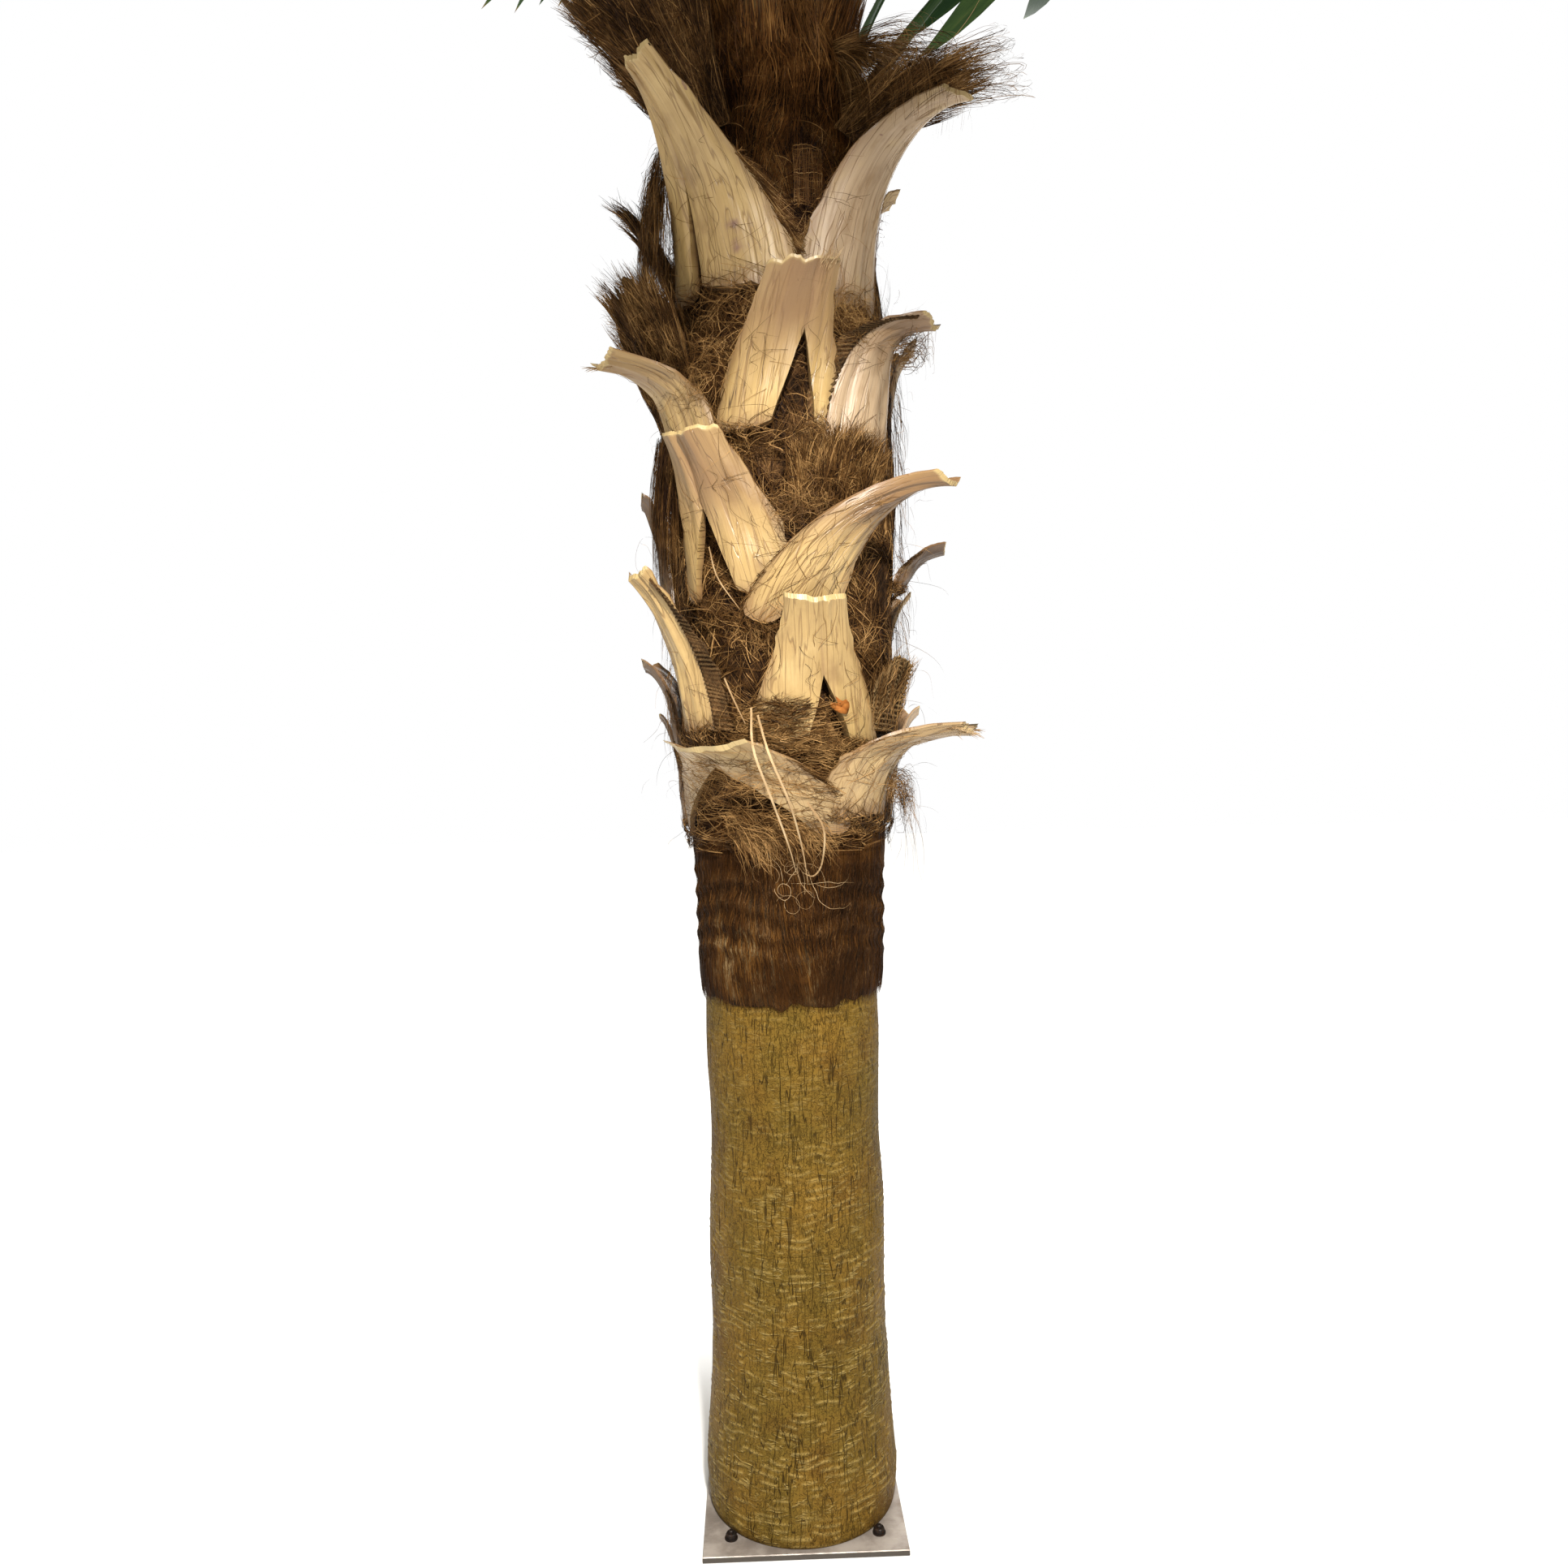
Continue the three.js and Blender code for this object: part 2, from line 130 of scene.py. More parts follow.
@dataclass
class RingNoise:
    """Smooth noise round the trunk that closes on itself, from -1 to 1."""

    seed: int
    around: int
    spacing: float
    high: float = 3.6
    lattice: Array = field(init=False)

    def __post_init__(self) -> None:
        """Draws the lattice of values."""
        rows = int(self.high / self.spacing) + 3
        self.lattice = np.random.default_rng(self.seed).uniform(-1.0, 1.0, (rows, self.around))

    def at(self, bearing: Array, height: Array) -> Array:
        """Reads the noise.

        Args:
            bearing: Bearings in radians.
            height: Heights in metres.

        Returns:
            The noise at each place.
        """
        column = np.asarray(bearing) / (2.0 * math.pi) * self.around
        row = np.clip(np.asarray(height) / self.spacing, 0.0, self.lattice.shape[0] - 2.001)
        column0, row0 = np.floor(column).astype(int), np.floor(row).astype(int)
        across, up = ease(column - column0), ease(row - row0)
        left, right = column0 % self.around, (column0 + 1) % self.around
        lower = blend(self.lattice[row0, left], self.lattice[row0, right], across)
        upper = blend(self.lattice[row0 + 1, left], self.lattice[row0 + 1, right], across)
        return blend(lower, upper, up)


TRUNK_OUTLINE = Outline(
    (12, 40, 90, 230, 370, 510, 640, 770, 980, 1060, 1500, 2100, 2650, 2850, 3050, 3200, 3300, 3345),
    (186, 195, 198, 187, 180, 184, 180, 177, 181, 180, 176, 165, 145, 125, 98, 80, 52, 20),
)
SLEEVE_OUTLINE = Outline(
    (1060, 1110, 1300, 1420, 1600, 1850, 2150, 2300, 2450, 2650, 2790, 2900, 3050, 3200),
    (184.5, 190, 193, 201, 213, 223, 229.5, 229, 215, 182, 168, 165, 142, 118),
)


# Meshes


@dataclass
class Skin:
    """Points, quads and point values of a mesh that is still being put together."""

    points: Array
    quads: Array
    values: dict[str, Array] = field(default_factory=dict)
    grain: Array | None = None
    sharp: Array | None = None

    @staticmethod
    def join(skins: Sequence[Skin]) -> Skin:
        """Joins skins into one.

        Args:
            skins: Skins that hold the same values.

        Returns:
            One skin with all their points and quads.
        """
        starts = np.cumsum([0] + [len(skin.points) for skin in skins[:-1]])
        quads = np.concatenate([skin.quads + start for skin, start in zip(skins, starts)])
        values = {key: np.concatenate([skin.values[key] for skin in skins]) for key in skins[0].values}
        grain = None
        if skins[0].grain is not None:
            grain = np.concatenate([skin.grain for skin in skins])
        return Skin(np.concatenate([skin.points for skin in skins]), quads, values, grain)

    def to_mesh(self, name: str) -> Mesh:
        """Writes the skin into a Blender mesh.

        Args:
            name: Name of the mesh.

        Returns:
            The mesh, smooth shaded, with its values and grain map.
        """
        mesh = bpy.data.meshes.new(name)
        count = len(self.quads)
        corners = np.ascontiguousarray(self.quads, dtype=np.int32).ravel()
        mesh.vertices.add(len(self.points))
        mesh.vertices.foreach_set("co", np.ascontiguousarray(self.points, dtype=np.float32).ravel())
        mesh.loops.add(count * 4)
        mesh.loops.foreach_set("vertex_index", corners)
        mesh.polygons.add(count)
        mesh.polygons.foreach_set("loop_start", np.arange(0, count * 4, 4, dtype=np.int32))
        mesh.polygons.foreach_set("use_smooth", np.ones(count, dtype=bool))
        mesh.update(calc_edges=True)
        mesh.validate()
        if self.grain is not None:
            layer = mesh.uv_layers.new(name="grain")
            corner_points = np.empty(len(mesh.loops), dtype=np.int32)
            mesh.loops.foreach_get("vertex_index", corner_points)
            layer.data.foreach_set("uv", self.grain[corner_points].astype(np.float32).ravel())
        for key, value in self.values.items():
            mesh.attributes.new(key, "FLOAT", "POINT").data.foreach_set("value", value.astype(np.float32))
        if self.sharp is not None and len(self.sharp):
            self._mark_sharp(mesh)
        return mesh

    def _mark_sharp(self, mesh: Mesh) -> None:
        """Marks the skin's hard edges on the mesh."""
        ends = np.empty(len(mesh.edges) * 2, dtype=np.int32)
        mesh.edges.foreach_get("vertices", ends)
        ends = np.sort(ends.reshape(-1, 2), axis=1).astype(np.int64)
        wanted = np.sort(self.sharp, axis=1).astype(np.int64)
        total = len(self.points)
        hard = np.isin(ends[:, 0] * total + ends[:, 1], wanted[:, 0] * total + wanted[:, 1])
        mesh.attributes.new("sharp_edge", "BOOLEAN", "EDGE").data.foreach_set("value", hard)


def grid_quads(rows: int, columns: int, start: int = 0, closed: bool = False) -> Array:
    """Lists the quads of a grid of points that is stored row by row.

    Args:
        rows: Rows of points.
        columns: Columns of points.
        start: Number of the first point.
        closed: Whether the last column joins the first.

    Returns:
        The corner numbers, one quad on each line.
    """
    wide = columns if closed else columns - 1
    row, column = np.meshgrid(np.arange(rows - 1), np.arange(wide), indexing="ij")
    near, far, beside = row * columns, (row + 1) * columns, (column + 1) % columns
    corners = (near + column, near + beside, far + beside, far + column)
    return start + np.stack([corner.ravel() for corner in corners], axis=1)


def quad_edges(quads: Array) -> Array:
    """Returns the two ends of each quad's edges."""
    return np.concatenate([quads[:, [k, (k + 1) % 4]] for k in range(4)])


def thicken(outer: Array, inner: Array, quads: Array) -> tuple[Array, Array, Array]:
    """Closes two matching faces of a sheet with a rim.

    Args:
        outer: Points of the outer face.
        inner: Points of the inner face.
        quads: Quads of the outer face, facing outwards.

    Returns:
        The points, the quads and the hard edges of the closed sheet.
    """
    edges = quad_edges(quads)
    _, first, count = np.unique(np.sort(edges, axis=1), axis=0, return_index=True, return_counts=True)
    rim = edges[first[count == 1]]
    points = np.concatenate([outer.reshape(-1, 3), inner.reshape(-1, 3)])
    total = len(points) // 2
    sides = np.stack([rim[:, 1], rim[:, 0], rim[:, 0] + total, rim[:, 1] + total], axis=1)
    faces = np.concatenate([quads, quads[:, ::-1] + total, sides])
    return points, faces, np.concatenate([rim, rim + total])


def ribbons(paths: Array, widths: Array, facing: Array, shade: Array) -> Skin:
    """Makes flat tapering fibres along paths.

    Args:
        paths: Points of the fibres, by fibre and step.
        widths: Width of each fibre in metres.
        facing: Direction that each fibre's flat side faces, by fibre and step.
        shade: Shade of each fibre from 0, dark, to 1, pale.

    Returns:
        The skin of all the fibres.
    """
    count, steps, _ = paths.shape
    side = np.cross(np.gradient(paths, axis=1), facing)
    side /= np.linalg.norm(side, axis=2, keepdims=True) + 1e-12
    taper = 1.0 - 0.75 * np.linspace(0.0, 1.0, steps) ** 3
    half = 0.5 * widths[:, None, None] * taper[None, :, None]
    points = np.stack([paths - side * half, paths + side * half], axis=2).reshape(-1, 3)
    base = (np.arange(count)[:, None] * steps + np.arange(steps - 1)[None, :]) * 2
    quads = np.stack([base, base + 1, base + 3, base + 2], axis=2).reshape(-1, 4)
    return Skin(points, quads, {"shade": np.repeat(shade, steps * 2)})


class Draws:
    """Repeatable random draws for a number of fibres."""

    def __init__(self, seed: int, count: int) -> None:
        """Starts the draws for count fibres."""
        self.rng, self.count = np.random.default_rng(seed), count

    def even(self, low: float, high: float) -> Array:
        """Returns a column of values from low to high, all as likely."""
        return self.rng.uniform(low, high, self.count)[:, None]

    def bell(self, spread: float, middle: float = 0.0) -> Array:
        """Returns a column of values that crowd round their middle."""
        return self.rng.normal(middle, spread, self.count)[:, None]

    def fibres(
        self, paths: Array, width: tuple[float, float], tone: tuple[Any, float], wobble: float = 0.5
    ) -> Skin:
        """Makes fibres of mixed widths and shades whose flat sides face roughly outwards.

        Args:
            paths: Points of the fibres, by fibre and step.
            width: Narrowest and widest fibre.
            tone: Mean shade, for all or for each fibre, and its spread.
            wobble: How far the fibres twist away from facing outwards.

        Returns:
            The skin of all the fibres.
        """
        count = len(paths)
        outward = paths * np.array([1.0, 1.0, 0.0])
        outward /= np.linalg.norm(outward, axis=2, keepdims=True) + 1e-9
        shade = np.clip(tone[0] + self.rng.normal(0.0, tone[1], count), 0.0, 1.0)
        widths = self.rng.uniform(*width, count)
        return ribbons(paths, widths, outward + self.rng.normal(0, wobble, (count, 1, 3)), shade)


def spline(keys: Array, steps: int) -> Array:
    """Runs a smooth curve through key points.

    Args:
        keys: Key points, one on each line.
        steps: Points on the curve.

    Returns:
        The points of the curve.
    """
    padded = np.concatenate([[2 * keys[0] - keys[1]], keys, [2 * keys[-1] - keys[-2]]])
    place = np.linspace(0.0, len(keys) - 1.0001, steps)
    span = place.astype(int)
    t = (place - span)[:, None]
    before, start, end, after = (padded[span + k] for k in range(4))
    return 0.5 * (
        2 * start
        + (end - before) * t
        + (2 * before - 5 * start + 4 * end - after) * t**2
        + (3 * start - before - 3 * end + after) * t**3
    )


# Finishes


class Field:
    """A value, colour or vector in a node tree, with the steps that it is worked on by."""

    def __init__(self, nodes: Nodes, socket: Socket) -> None:
        """Keeps the tree and the socket that the value comes from."""
        self.nodes, self.socket = nodes, socket

    def __mul__(self, other: Any) -> Field:
        """Returns the product with another value."""
        return self._math("MULTIPLY", other)

    def __add__(self, other: Any) -> Field:
        """Returns the sum with another value."""
        return self._math("ADD", other)

    def __sub__(self, other: Any) -> Field:
        """Returns this value less another."""
        return self._math("SUBTRACT", other)

    def __or__(self, other: Any) -> Field:
        """Returns the larger of this value and another."""
        return self._math("MAXIMUM", other)

    def _math(self, operation: str, other: Any = 0.0) -> Field:
        """Returns this value combined with another by a Math node."""
        return self.nodes.node("ShaderNodeMath", {0: self, 1: other}, operation=operation)

    def beside(self, output: str) -> Field:
        """Returns another output of the same node."""
        return Field(self.nodes, self.socket.node.outputs[output])

    def part(self, axis: str) -> Field:
        """Returns one axis of a vector."""
        return self.nodes.node("ShaderNodeSeparateXYZ", {0: self}, axis)

    def stretch(self, scale: Colour, rise: float = 0.0) -> Field:
        """Returns coordinates raised along Z and then scaled along each axis."""
        inputs = {"Vector": self, "Location": (0.0, 0.0, rise), "Scale": tuple(1.0 / axis for axis in scale)}
        return self.nodes.node("ShaderNodeMapping", inputs, vector_type="TEXTURE")

    def twist(self, rate: float) -> Field:
        """Returns coordinates wound about Z by rate radians for each metre of height."""
        inputs = {"Vector": self, "Angle": self.part("Z") * rate}
        return self.nodes.node("ShaderNodeVectorRotate", inputs, rotation_type="Z_AXIS")

    def noise(self, scale: float, detail: float = 3.0, rough: float = 0.55, warp: float = 0.0) -> Field:
        """Returns a noise value.

        Args:
            scale: Cells for each metre of the coordinates.
            detail: Octaves.
            rough: Strength of the finer octaves.
            warp: Distortion.

        Returns:
            The noise.
        """
        inputs = {"Vector": self, "Scale": scale, "Detail": detail, "Roughness": rough, "Distortion": warp}
        return self.nodes.node("ShaderNodeTexNoise", inputs)

    def span(self, low: float, high: float, to_low: float = 0.0, to_high: float = 1.0) -> Field:
        """Returns a value mapped smoothly from one range to another and held at its ends."""
        inputs = dict(enumerate((self, low, high, to_low, to_high)))
        return self.nodes.node("ShaderNodeMapRange", inputs, interpolation_type="SMOOTHSTEP")

    def line(self, width: float) -> Field:
        """Returns thin lines where a noise value passes its middle."""
        return (self - 0.5)._math("ABSOLUTE").span(0.0, width, 1.0, 0.0)

    def mix(self, first: Any, second: Any) -> Field:
        """Returns two colours mixed by this share."""
        return self.nodes.node("ShaderNodeMix", {0: self, 6: first, 7: second}, 2, data_type="RGBA")

    def ramp(self, stops: Stops) -> Field:
        """Returns the colour that a ramp gives this value."""
        colour = self.nodes.node("ShaderNodeValToRGB", {0: self})
        elements = colour.socket.node.color_ramp.elements
        while len(elements) < len(stops):
            elements.new(0.5)
        for element, (position, shade) in zip(elements, stops):
            element.position, element.color = position, (*shade, 1.0)
        return colour

    def bump(self, strength: float, distance: float) -> Field:
        """Returns a normal bumped by this height."""
        return self.nodes.node("ShaderNodeBump", {"Strength": strength, "Distance": distance, "Height": self})


class Nodes:
    """A node tree that is put together by short calls."""

    def __init__(self, tree: bpy.types.NodeTree) -> None:
        """Keeps the tree."""
        self.tree = tree

    def feed(self, socket: Socket, value: Any) -> None:
        """Links a socket to a field, or sets its value."""
        if isinstance(value, Field):
            self.tree.links.new(value.socket, socket)
        elif socket.type == "RGBA":
            socket.default_value = (*value, 1.0)
        else:
            socket.default_value = value

    def node(self, kind: str, inputs: dict[int | str, Any], output: int | str = 0, **traits: str) -> Field:
        """Adds a node.

        Args:
            kind: Type of the node.
            inputs: What its sockets are fed with, by number or name.
            output: The output that is wanted.
            traits: The node's other settings.

        Returns:
            The field at that output.
        """
        node = self.tree.nodes.new(kind)
        for key, setting in traits.items():
            setattr(node, key, setting)
        for key, value in inputs.items():
            self.feed(node.inputs[key], value)
        return Field(self, node.outputs[output])


class Graph(Nodes):
    """A material's node tree, with what the finishes read and paint."""

    def __init__(self, name: str) -> None:
        """Makes an empty material with a Principled shader."""
        self.material = bpy.data.materials.new(name)
        self.material.use_nodes = True
        super().__init__(self.material.node_tree)
        self.tree.nodes.clear()
        self.shader = self.tree.nodes.new("ShaderNodeBsdfPrincipled")
        output = self.tree.nodes.new("ShaderNodeOutputMaterial")
        self.tree.links.new(self.shader.outputs[0], output.inputs[0])

    def place(self) -> Field:
        """Returns the Object coordinates."""
        return self.node("ShaderNodeTexCoord", {}, "Object")

    def grain(self) -> Field:
        """Returns the piece's own grain map."""
        return self.node("ShaderNodeUVMap", {}, uv_map="grain")

    def value(self, name: str) -> Field:
        """Returns a value that the mesh holds."""
        return self.node("ShaderNodeAttribute", {}, "Fac", attribute_name=name)

    def paint(self, **sockets: Any) -> Material:
        """Sets the shader's sockets, named with underscores for spaces, and returns the material."""
        for name, value in sockets.items():
            self.feed(self.shader.inputs[name.replace("_", " ").title().replace("Ior", "IOR")], value)
        return self.material


@dataclass(frozen=True)
class PlateSteel:
    """Bare steel plate, warm grey, scuffed and stained, with dark sawn edges."""

    light: Colour = (0.42, 0.37, 0.33)
    dark: Colour = (0.22, 0.185, 0.16)
    stain: Colour = (0.14, 0.09, 0.055)
    edge: Colour = (0.055, 0.045, 0.036)

    def material(self) -> Material:
        """Returns the finish as a material."""
        graph = Graph("plate_steel")
        place = graph.place()
        scuff = place.stretch((1.0, 9.0, 1.0)).noise(30.0, 4.0, 0.7)
        tone = place.noise(14.0, 5.0, 0.6).span(0.35, 0.68).mix(self.dark, self.light)
        tone = place.noise(6.0, 4.0, 0.6).span(0.56, 0.7, 0.0, 0.8).mix(tone, self.stain)
        side = place.part("Z").span(0.0103, 0.0112, 1.0, 0.0)
        return graph.paint(
            base_color=side.mix(tone, self.edge),
            metallic=0.25,
            roughness=scuff.span(0.3, 0.7, 0.34, 0.6),
            normal=scuff.bump(0.12, 0.0006),
        )


@dataclass(frozen=True)
class BoltSteel:
    """Dark oxidised steel with patches of rust."""

    dark: Colour = (0.020, 0.015, 0.013)
    rust: Colour = (0.060, 0.026, 0.011)

    def material(self) -> Material:
        """Returns the finish as a material."""
        graph = Graph("bolt_steel")
        rust = graph.place().noise(160.0, 4.0, 0.6).span(0.5, 0.68)
        return graph.paint(base_color=rust.mix(self.dark, self.rust), metallic=0.6, roughness=0.5)


@dataclass(frozen=True)
class Bark:
    """Moulded bark: satin ochre and olive, creased across like cloth, with fine upright cracks and painted
    highlights and shadows on its creases and folds.
    """

    ochre: Colour = (0.172, 0.098, 0.0165)
    olive: Colour = (0.126, 0.080, 0.0140)
    brown: Colour = (0.090, 0.041, 0.0075)
    # pale paints the highlights on the creases and the fold crests; crack colours the real cracks and also
    # the painted shadows and shade.
    pale: Colour = (0.46, 0.33, 0.11)
    crack: Colour = (0.018, 0.010, 0.003)
    stain: Colour = (0.045, 0.020, 0.006)

    def material(self) -> Material:
        """Returns the finish as a material."""
        graph = Graph("bark")
        place = graph.place()
        fine = place.stretch((0.6, 0.6, 1.0)).noise(230.0, 4.0, 0.65)
        gate = place.noise(15.0, 2.0)
        low = place.part("Z").span(0.85, 0.35, 0.35, 1.0)
        upright = place.stretch((1.0, 1.0, 0.10)).noise(62.0, 2.0, 0.5, 0.2)
        short = place.stretch((1.0, 1.0, 0.20)).noise(105.0, 2.0, 0.5, 0.2)
        curl = place.stretch((0.8, 0.8, 1.0)).noise(95.0, 2.0, 0.5, 1.6).line(0.035)
        # Each crease is painted as an emboss: a dark line of painted shadow and, 2.8 mm above it, a pale line
        # of painted highlight.
        crease, painted_crease_highlight = (
            place.stretch((0.2, 0.2, 1.0), rise).noise(88.0, 2.0, 0.5, 0.2).line(0.045)
            for rise in (0.0, 0.0028)
        )
        weave = low * gate.span(0.60, 0.42) * place.noise(48.0, 1.0).span(0.42, 0.58)
        split = upright.line(0.020) * gate.span(0.60, 0.48)
        hair = short.line(0.022) * gate.span(0.44, 0.6, 0.1, 0.75)
        # dark holds the real cracks and curls, the creases' painted shadow and painted shade in the mesh's
        # grooves; light holds painted highlights on the creases and the fold crests.
        dark = split | hair | crease * weave * 0.55 | curl * 0.4 | graph.value("groove") * 0.3
        light = painted_crease_highlight * weave * 0.7 | graph.value("fold") * 0.45
        tone = place.noise(5.0, 4.0, 0.6).span(0.36, 0.66).mix(self.olive, self.ochre)
        for share, colour in (
            (place.noise(8.0, 3.0, 0.6).span(0.50, 0.74, 0.0, 0.6), self.brown),
            (fine.span(0.35, 0.7, 0.0, 0.3), self.brown),
            (light, self.pale),
            (dark * 0.8, self.crack),
            (graph.value("stain"), self.stain),
        ):
            tone = share.mix(tone, colour)
        return graph.paint(
            base_color=tone,
            roughness=fine.span(0.3, 0.7, 0.42, 0.6),
            specular_ior_level=0.04,
            normal=(light + fine * 0.6 - dark * 1.2).bump(0.9, 0.0035),
        )


@dataclass(frozen=True)
class FibreGround:
    """Felted fibre that lies under the loose fibres, crossed in three directions."""

    name: str
    dark: Colour
    middle: Colour
    light: Colour
    pale: Colour = (0.30, 0.20, 0.09)

    def material(self) -> Material:
        """Returns the finish as a material."""
        graph = Graph(self.name)
        place = graph.place()
        left, right, upright = (
            place.twist(rate).stretch((1.0, 1.0, 0.05)).noise(scale, 3.0, 0.6)
            for rate, scale in ((-3.2, 340.0), (2.8, 380.0), (0.4, 520.0))
        )
        height = left | right | upright * 0.95
        cloud = place.noise(17.0, 4.0, 0.6).span(0.3, 0.72, -0.16, 0.1)
        tone = (height + cloud).ramp(((0.40, self.dark), (0.56, self.middle), (0.76, self.light)))
        # pale brings in worn patches on the sleeve, paler mat rims and painted highlights on ribbed crests.
        return graph.paint(
            base_color=graph.value("pale").mix(tone, self.pale),
            roughness=0.75,
            specular_ior_level=0.08,
            normal=height.bump(0.9, 0.004),
        )


@dataclass(frozen=True)
class Fibre:
    """Loose palm fibre, shaded fibre by fibre."""

    name: str
    stops: Stops
    roughness: float = 0.5
    patch: float = 0.2

    def material(self) -> Material:
        """Returns the finish as a material."""
        graph = Graph(self.name)
        patch = graph.place().noise(15.0, 3.0, 0.6).span(0.32, 0.68, -self.patch, self.patch)
        tone = (graph.value("shade") + patch).ramp(self.stops)
        return graph.paint(base_color=tone, roughness=self.roughness, specular_ior_level=0.04)


@dataclass(frozen=True)
class DryLeafBase:
    """Dried leaf stalk: satin tan with long grain, fine cracks, scars and a pale cut, darkened by fibre and
    painted shade.
    """

    tones: Stops = (
        (0.0, (0.37, 0.245, 0.095)),
        (0.35, (0.36, 0.245, 0.115)),
        (0.7, (0.37, 0.265, 0.165)),
        (1.0, (0.085, 0.050, 0.028)),
    )
    shadow: Colour = (0.16, 0.085, 0.028)
    pale: Colour = (0.50, 0.355, 0.155)
    cut: Colour = (0.42, 0.31, 0.14)
    lining: Colour = (0.17, 0.09, 0.038)
    crack: Colour = (0.05, 0.025, 0.010)
    scar: Colour = (0.17, 0.085, 0.065)

    def material(self) -> Material:
        """Returns the finish as a material."""
        graph = Graph("leaf_base")
        grain = graph.grain()
        along = lambda share, *noise: grain.stretch((1.0, share, 1.0)).noise(*noise)
        fine = along(0.025, 260.0, 4.0, 0.6, 0.4)
        broad = along(0.05, 70.0, 3.0, 0.55, 0.3)
        cloud = along(0.5, 13.0, 4.0, 0.6)
        thread = along(0.06, 50.0, 2.0, 0.5, 0.9).line(0.03)
        split = along(0.014, 80.0, 2.0, 0.5, 0.5).line(0.012) * along(0.12, 30.0, 2.0).span(0.53, 0.62)
        spot = along(0.6, 42.0, 2.0, 0.5).span(0.74, 0.77) * 0.7 | graph.value("scar")
        tone = graph.value("tone").ramp(self.tones)
        for share, colour in (
            (cloud.span(0.50, 0.74, 0.0, 0.6), self.pale),
            (cloud.span(0.48, 0.28, 0.0, 0.55), self.shadow),
            (broad.span(0.52, 0.76, 0.0, 0.4), self.shadow),
            (fine.span(0.48, 0.72, 0.0, 0.3), self.shadow),
            (thread * cloud.span(0.34, 0.50, 0.2, 0.65), self.shadow),
            (split * 0.85, self.crack),
            (spot, self.scar),
            (graph.value("lining"), self.lining),
            # The soil value mixes in the lining brown: fibre left on the foot, and painted shade.
            (graph.value("soil_and_shade"), self.lining),
            (graph.value("cut"), self.cut),
        ):
            tone = share.mix(tone, colour)
        return graph.paint(
            base_color=tone,
            roughness=broad.span(0.3, 0.7, 0.30, 0.46),
            specular_ior_level=0.5,
            normal=(fine + broad - (split | thread) * 1.2).bump(0.45, 0.002),
        )


@dataclass(frozen=True)
class FrondGreen:
    """Dark green leaf with fine ribs along it, dry tips and brown feet."""

    stops: Stops = (
        (0.0, (0.006, 0.020, 0.009)),
        (0.4, (0.012, 0.034, 0.010)),
        (0.7, (0.038, 0.074, 0.016)),
        (0.86, (0.21, 0.14, 0.055)),
        (1.0, (0.065, 0.030, 0.011)),
    )

    def material(self) -> Material:
        """Returns the finish as a material."""
        graph = Graph("frond_green")
        rib = graph.grain().stretch((1.0, 0.03, 1.0)).noise(260.0, 3.0)
        shade = graph.value("shade") + rib.span(0.3, 0.7, -0.1, 0.1)
        return graph.paint(
            base_color=shade.ramp(self.stops),
            roughness=0.55,
            specular_ior_level=0.1,
            normal=rib.bump(0.35, 0.001),
        )


@dataclass(frozen=True)
class PaleFloor:
    """Plain white floor that glows a little away from the plate, so that it has no edge."""

    colour: Colour = (0.9, 0.9, 0.9)
    glow: Colour = (1.0, 1.0, 1.0)

    def material(self) -> Material:
        """Returns the finish as a material."""
        graph = Graph("floor")
        away = graph.node("ShaderNodeVectorMath", {0: graph.place()}, "Value", operation="LENGTH")
        return graph.paint(
            base_color=self.colour,
            roughness=0.9,
            specular_ior_level=0.1,
            emission_color=self.glow,
            emission_strength=away.span(0.28, 0.9, 0.05, 0.8),
        )


class Slot(Enum):
    """Names of material slots; nothing in the script uses them."""

    PLATE = "plate_steel"
    BOLT = "bolt_steel"
    BARK = "bark"
    FIBRE = "fibre"
    MAT = "fibre_mat"
    LEAF_BASE = "leaf_base"
    FROND = "frond"


@dataclass
class Finishes:
    """Every material of the palm, made once."""

    made: dict[str, Material] = field(default_factory=dict)

    def build(self) -> Finishes:
        """Makes the materials and returns self."""
        brown = ((0.0, (0.010, 0.004, 0.002)), (0.5, (0.086, 0.040, 0.0115)), (1.0, (0.36, 0.205, 0.078)))
        dark = ((0.0, (0.007, 0.003, 0.001)), (0.5, (0.036, 0.0135, 0.003)), (1.0, (0.135, 0.060, 0.014)))
        red = ((0.0, (0.016, 0.006, 0.002)), (0.5, (0.115, 0.045, 0.011)), (1.0, (0.33, 0.165, 0.05)))
        straw = ((0.0, (0.17, 0.095, 0.040)), (0.5, (0.31, 0.20, 0.10)), (1.0, (0.52, 0.38, 0.22)))
        rust = ((0.0, (0.10, 0.03, 0.008)), (0.5, (0.22, 0.07, 0.015)), (1.0, (0.34, 0.13, 0.03)))
        felt = ((0.009, 0.004, 0.001), (0.052, 0.024, 0.008), (0.16, 0.082, 0.03))
        coarse = ((0.013, 0.006, 0.002), (0.075, 0.036, 0.013), (0.21, 0.115, 0.045))
        finishes = {
            "plate": PlateSteel(),
            "bolt": BoltSteel(),
            "bark": Bark(),
            "sleeve": FibreGround("sleeve_felt", *felt),
            "mat": FibreGround("mat_felt", *coarse),
            "fibre": Fibre("fibre_brown", brown),
            "combed": Fibre("fibre_dark", dark, 0.42, 0.1),
            "heart": Fibre("fibre_red", red),
            "straw": Fibre("fibre_straw", straw),
            "rust": Fibre("dry_flake", rust),
            "leaf_base": DryLeafBase(),
            "frond": FrondGreen(),
            "floor": PaleFloor(),
        }
        self.made = {key: finish.material() for key, finish in finishes.items()}
        return self

    def __getitem__(self, key: str) -> Material:
        """Returns one material."""
        return self.made[key]


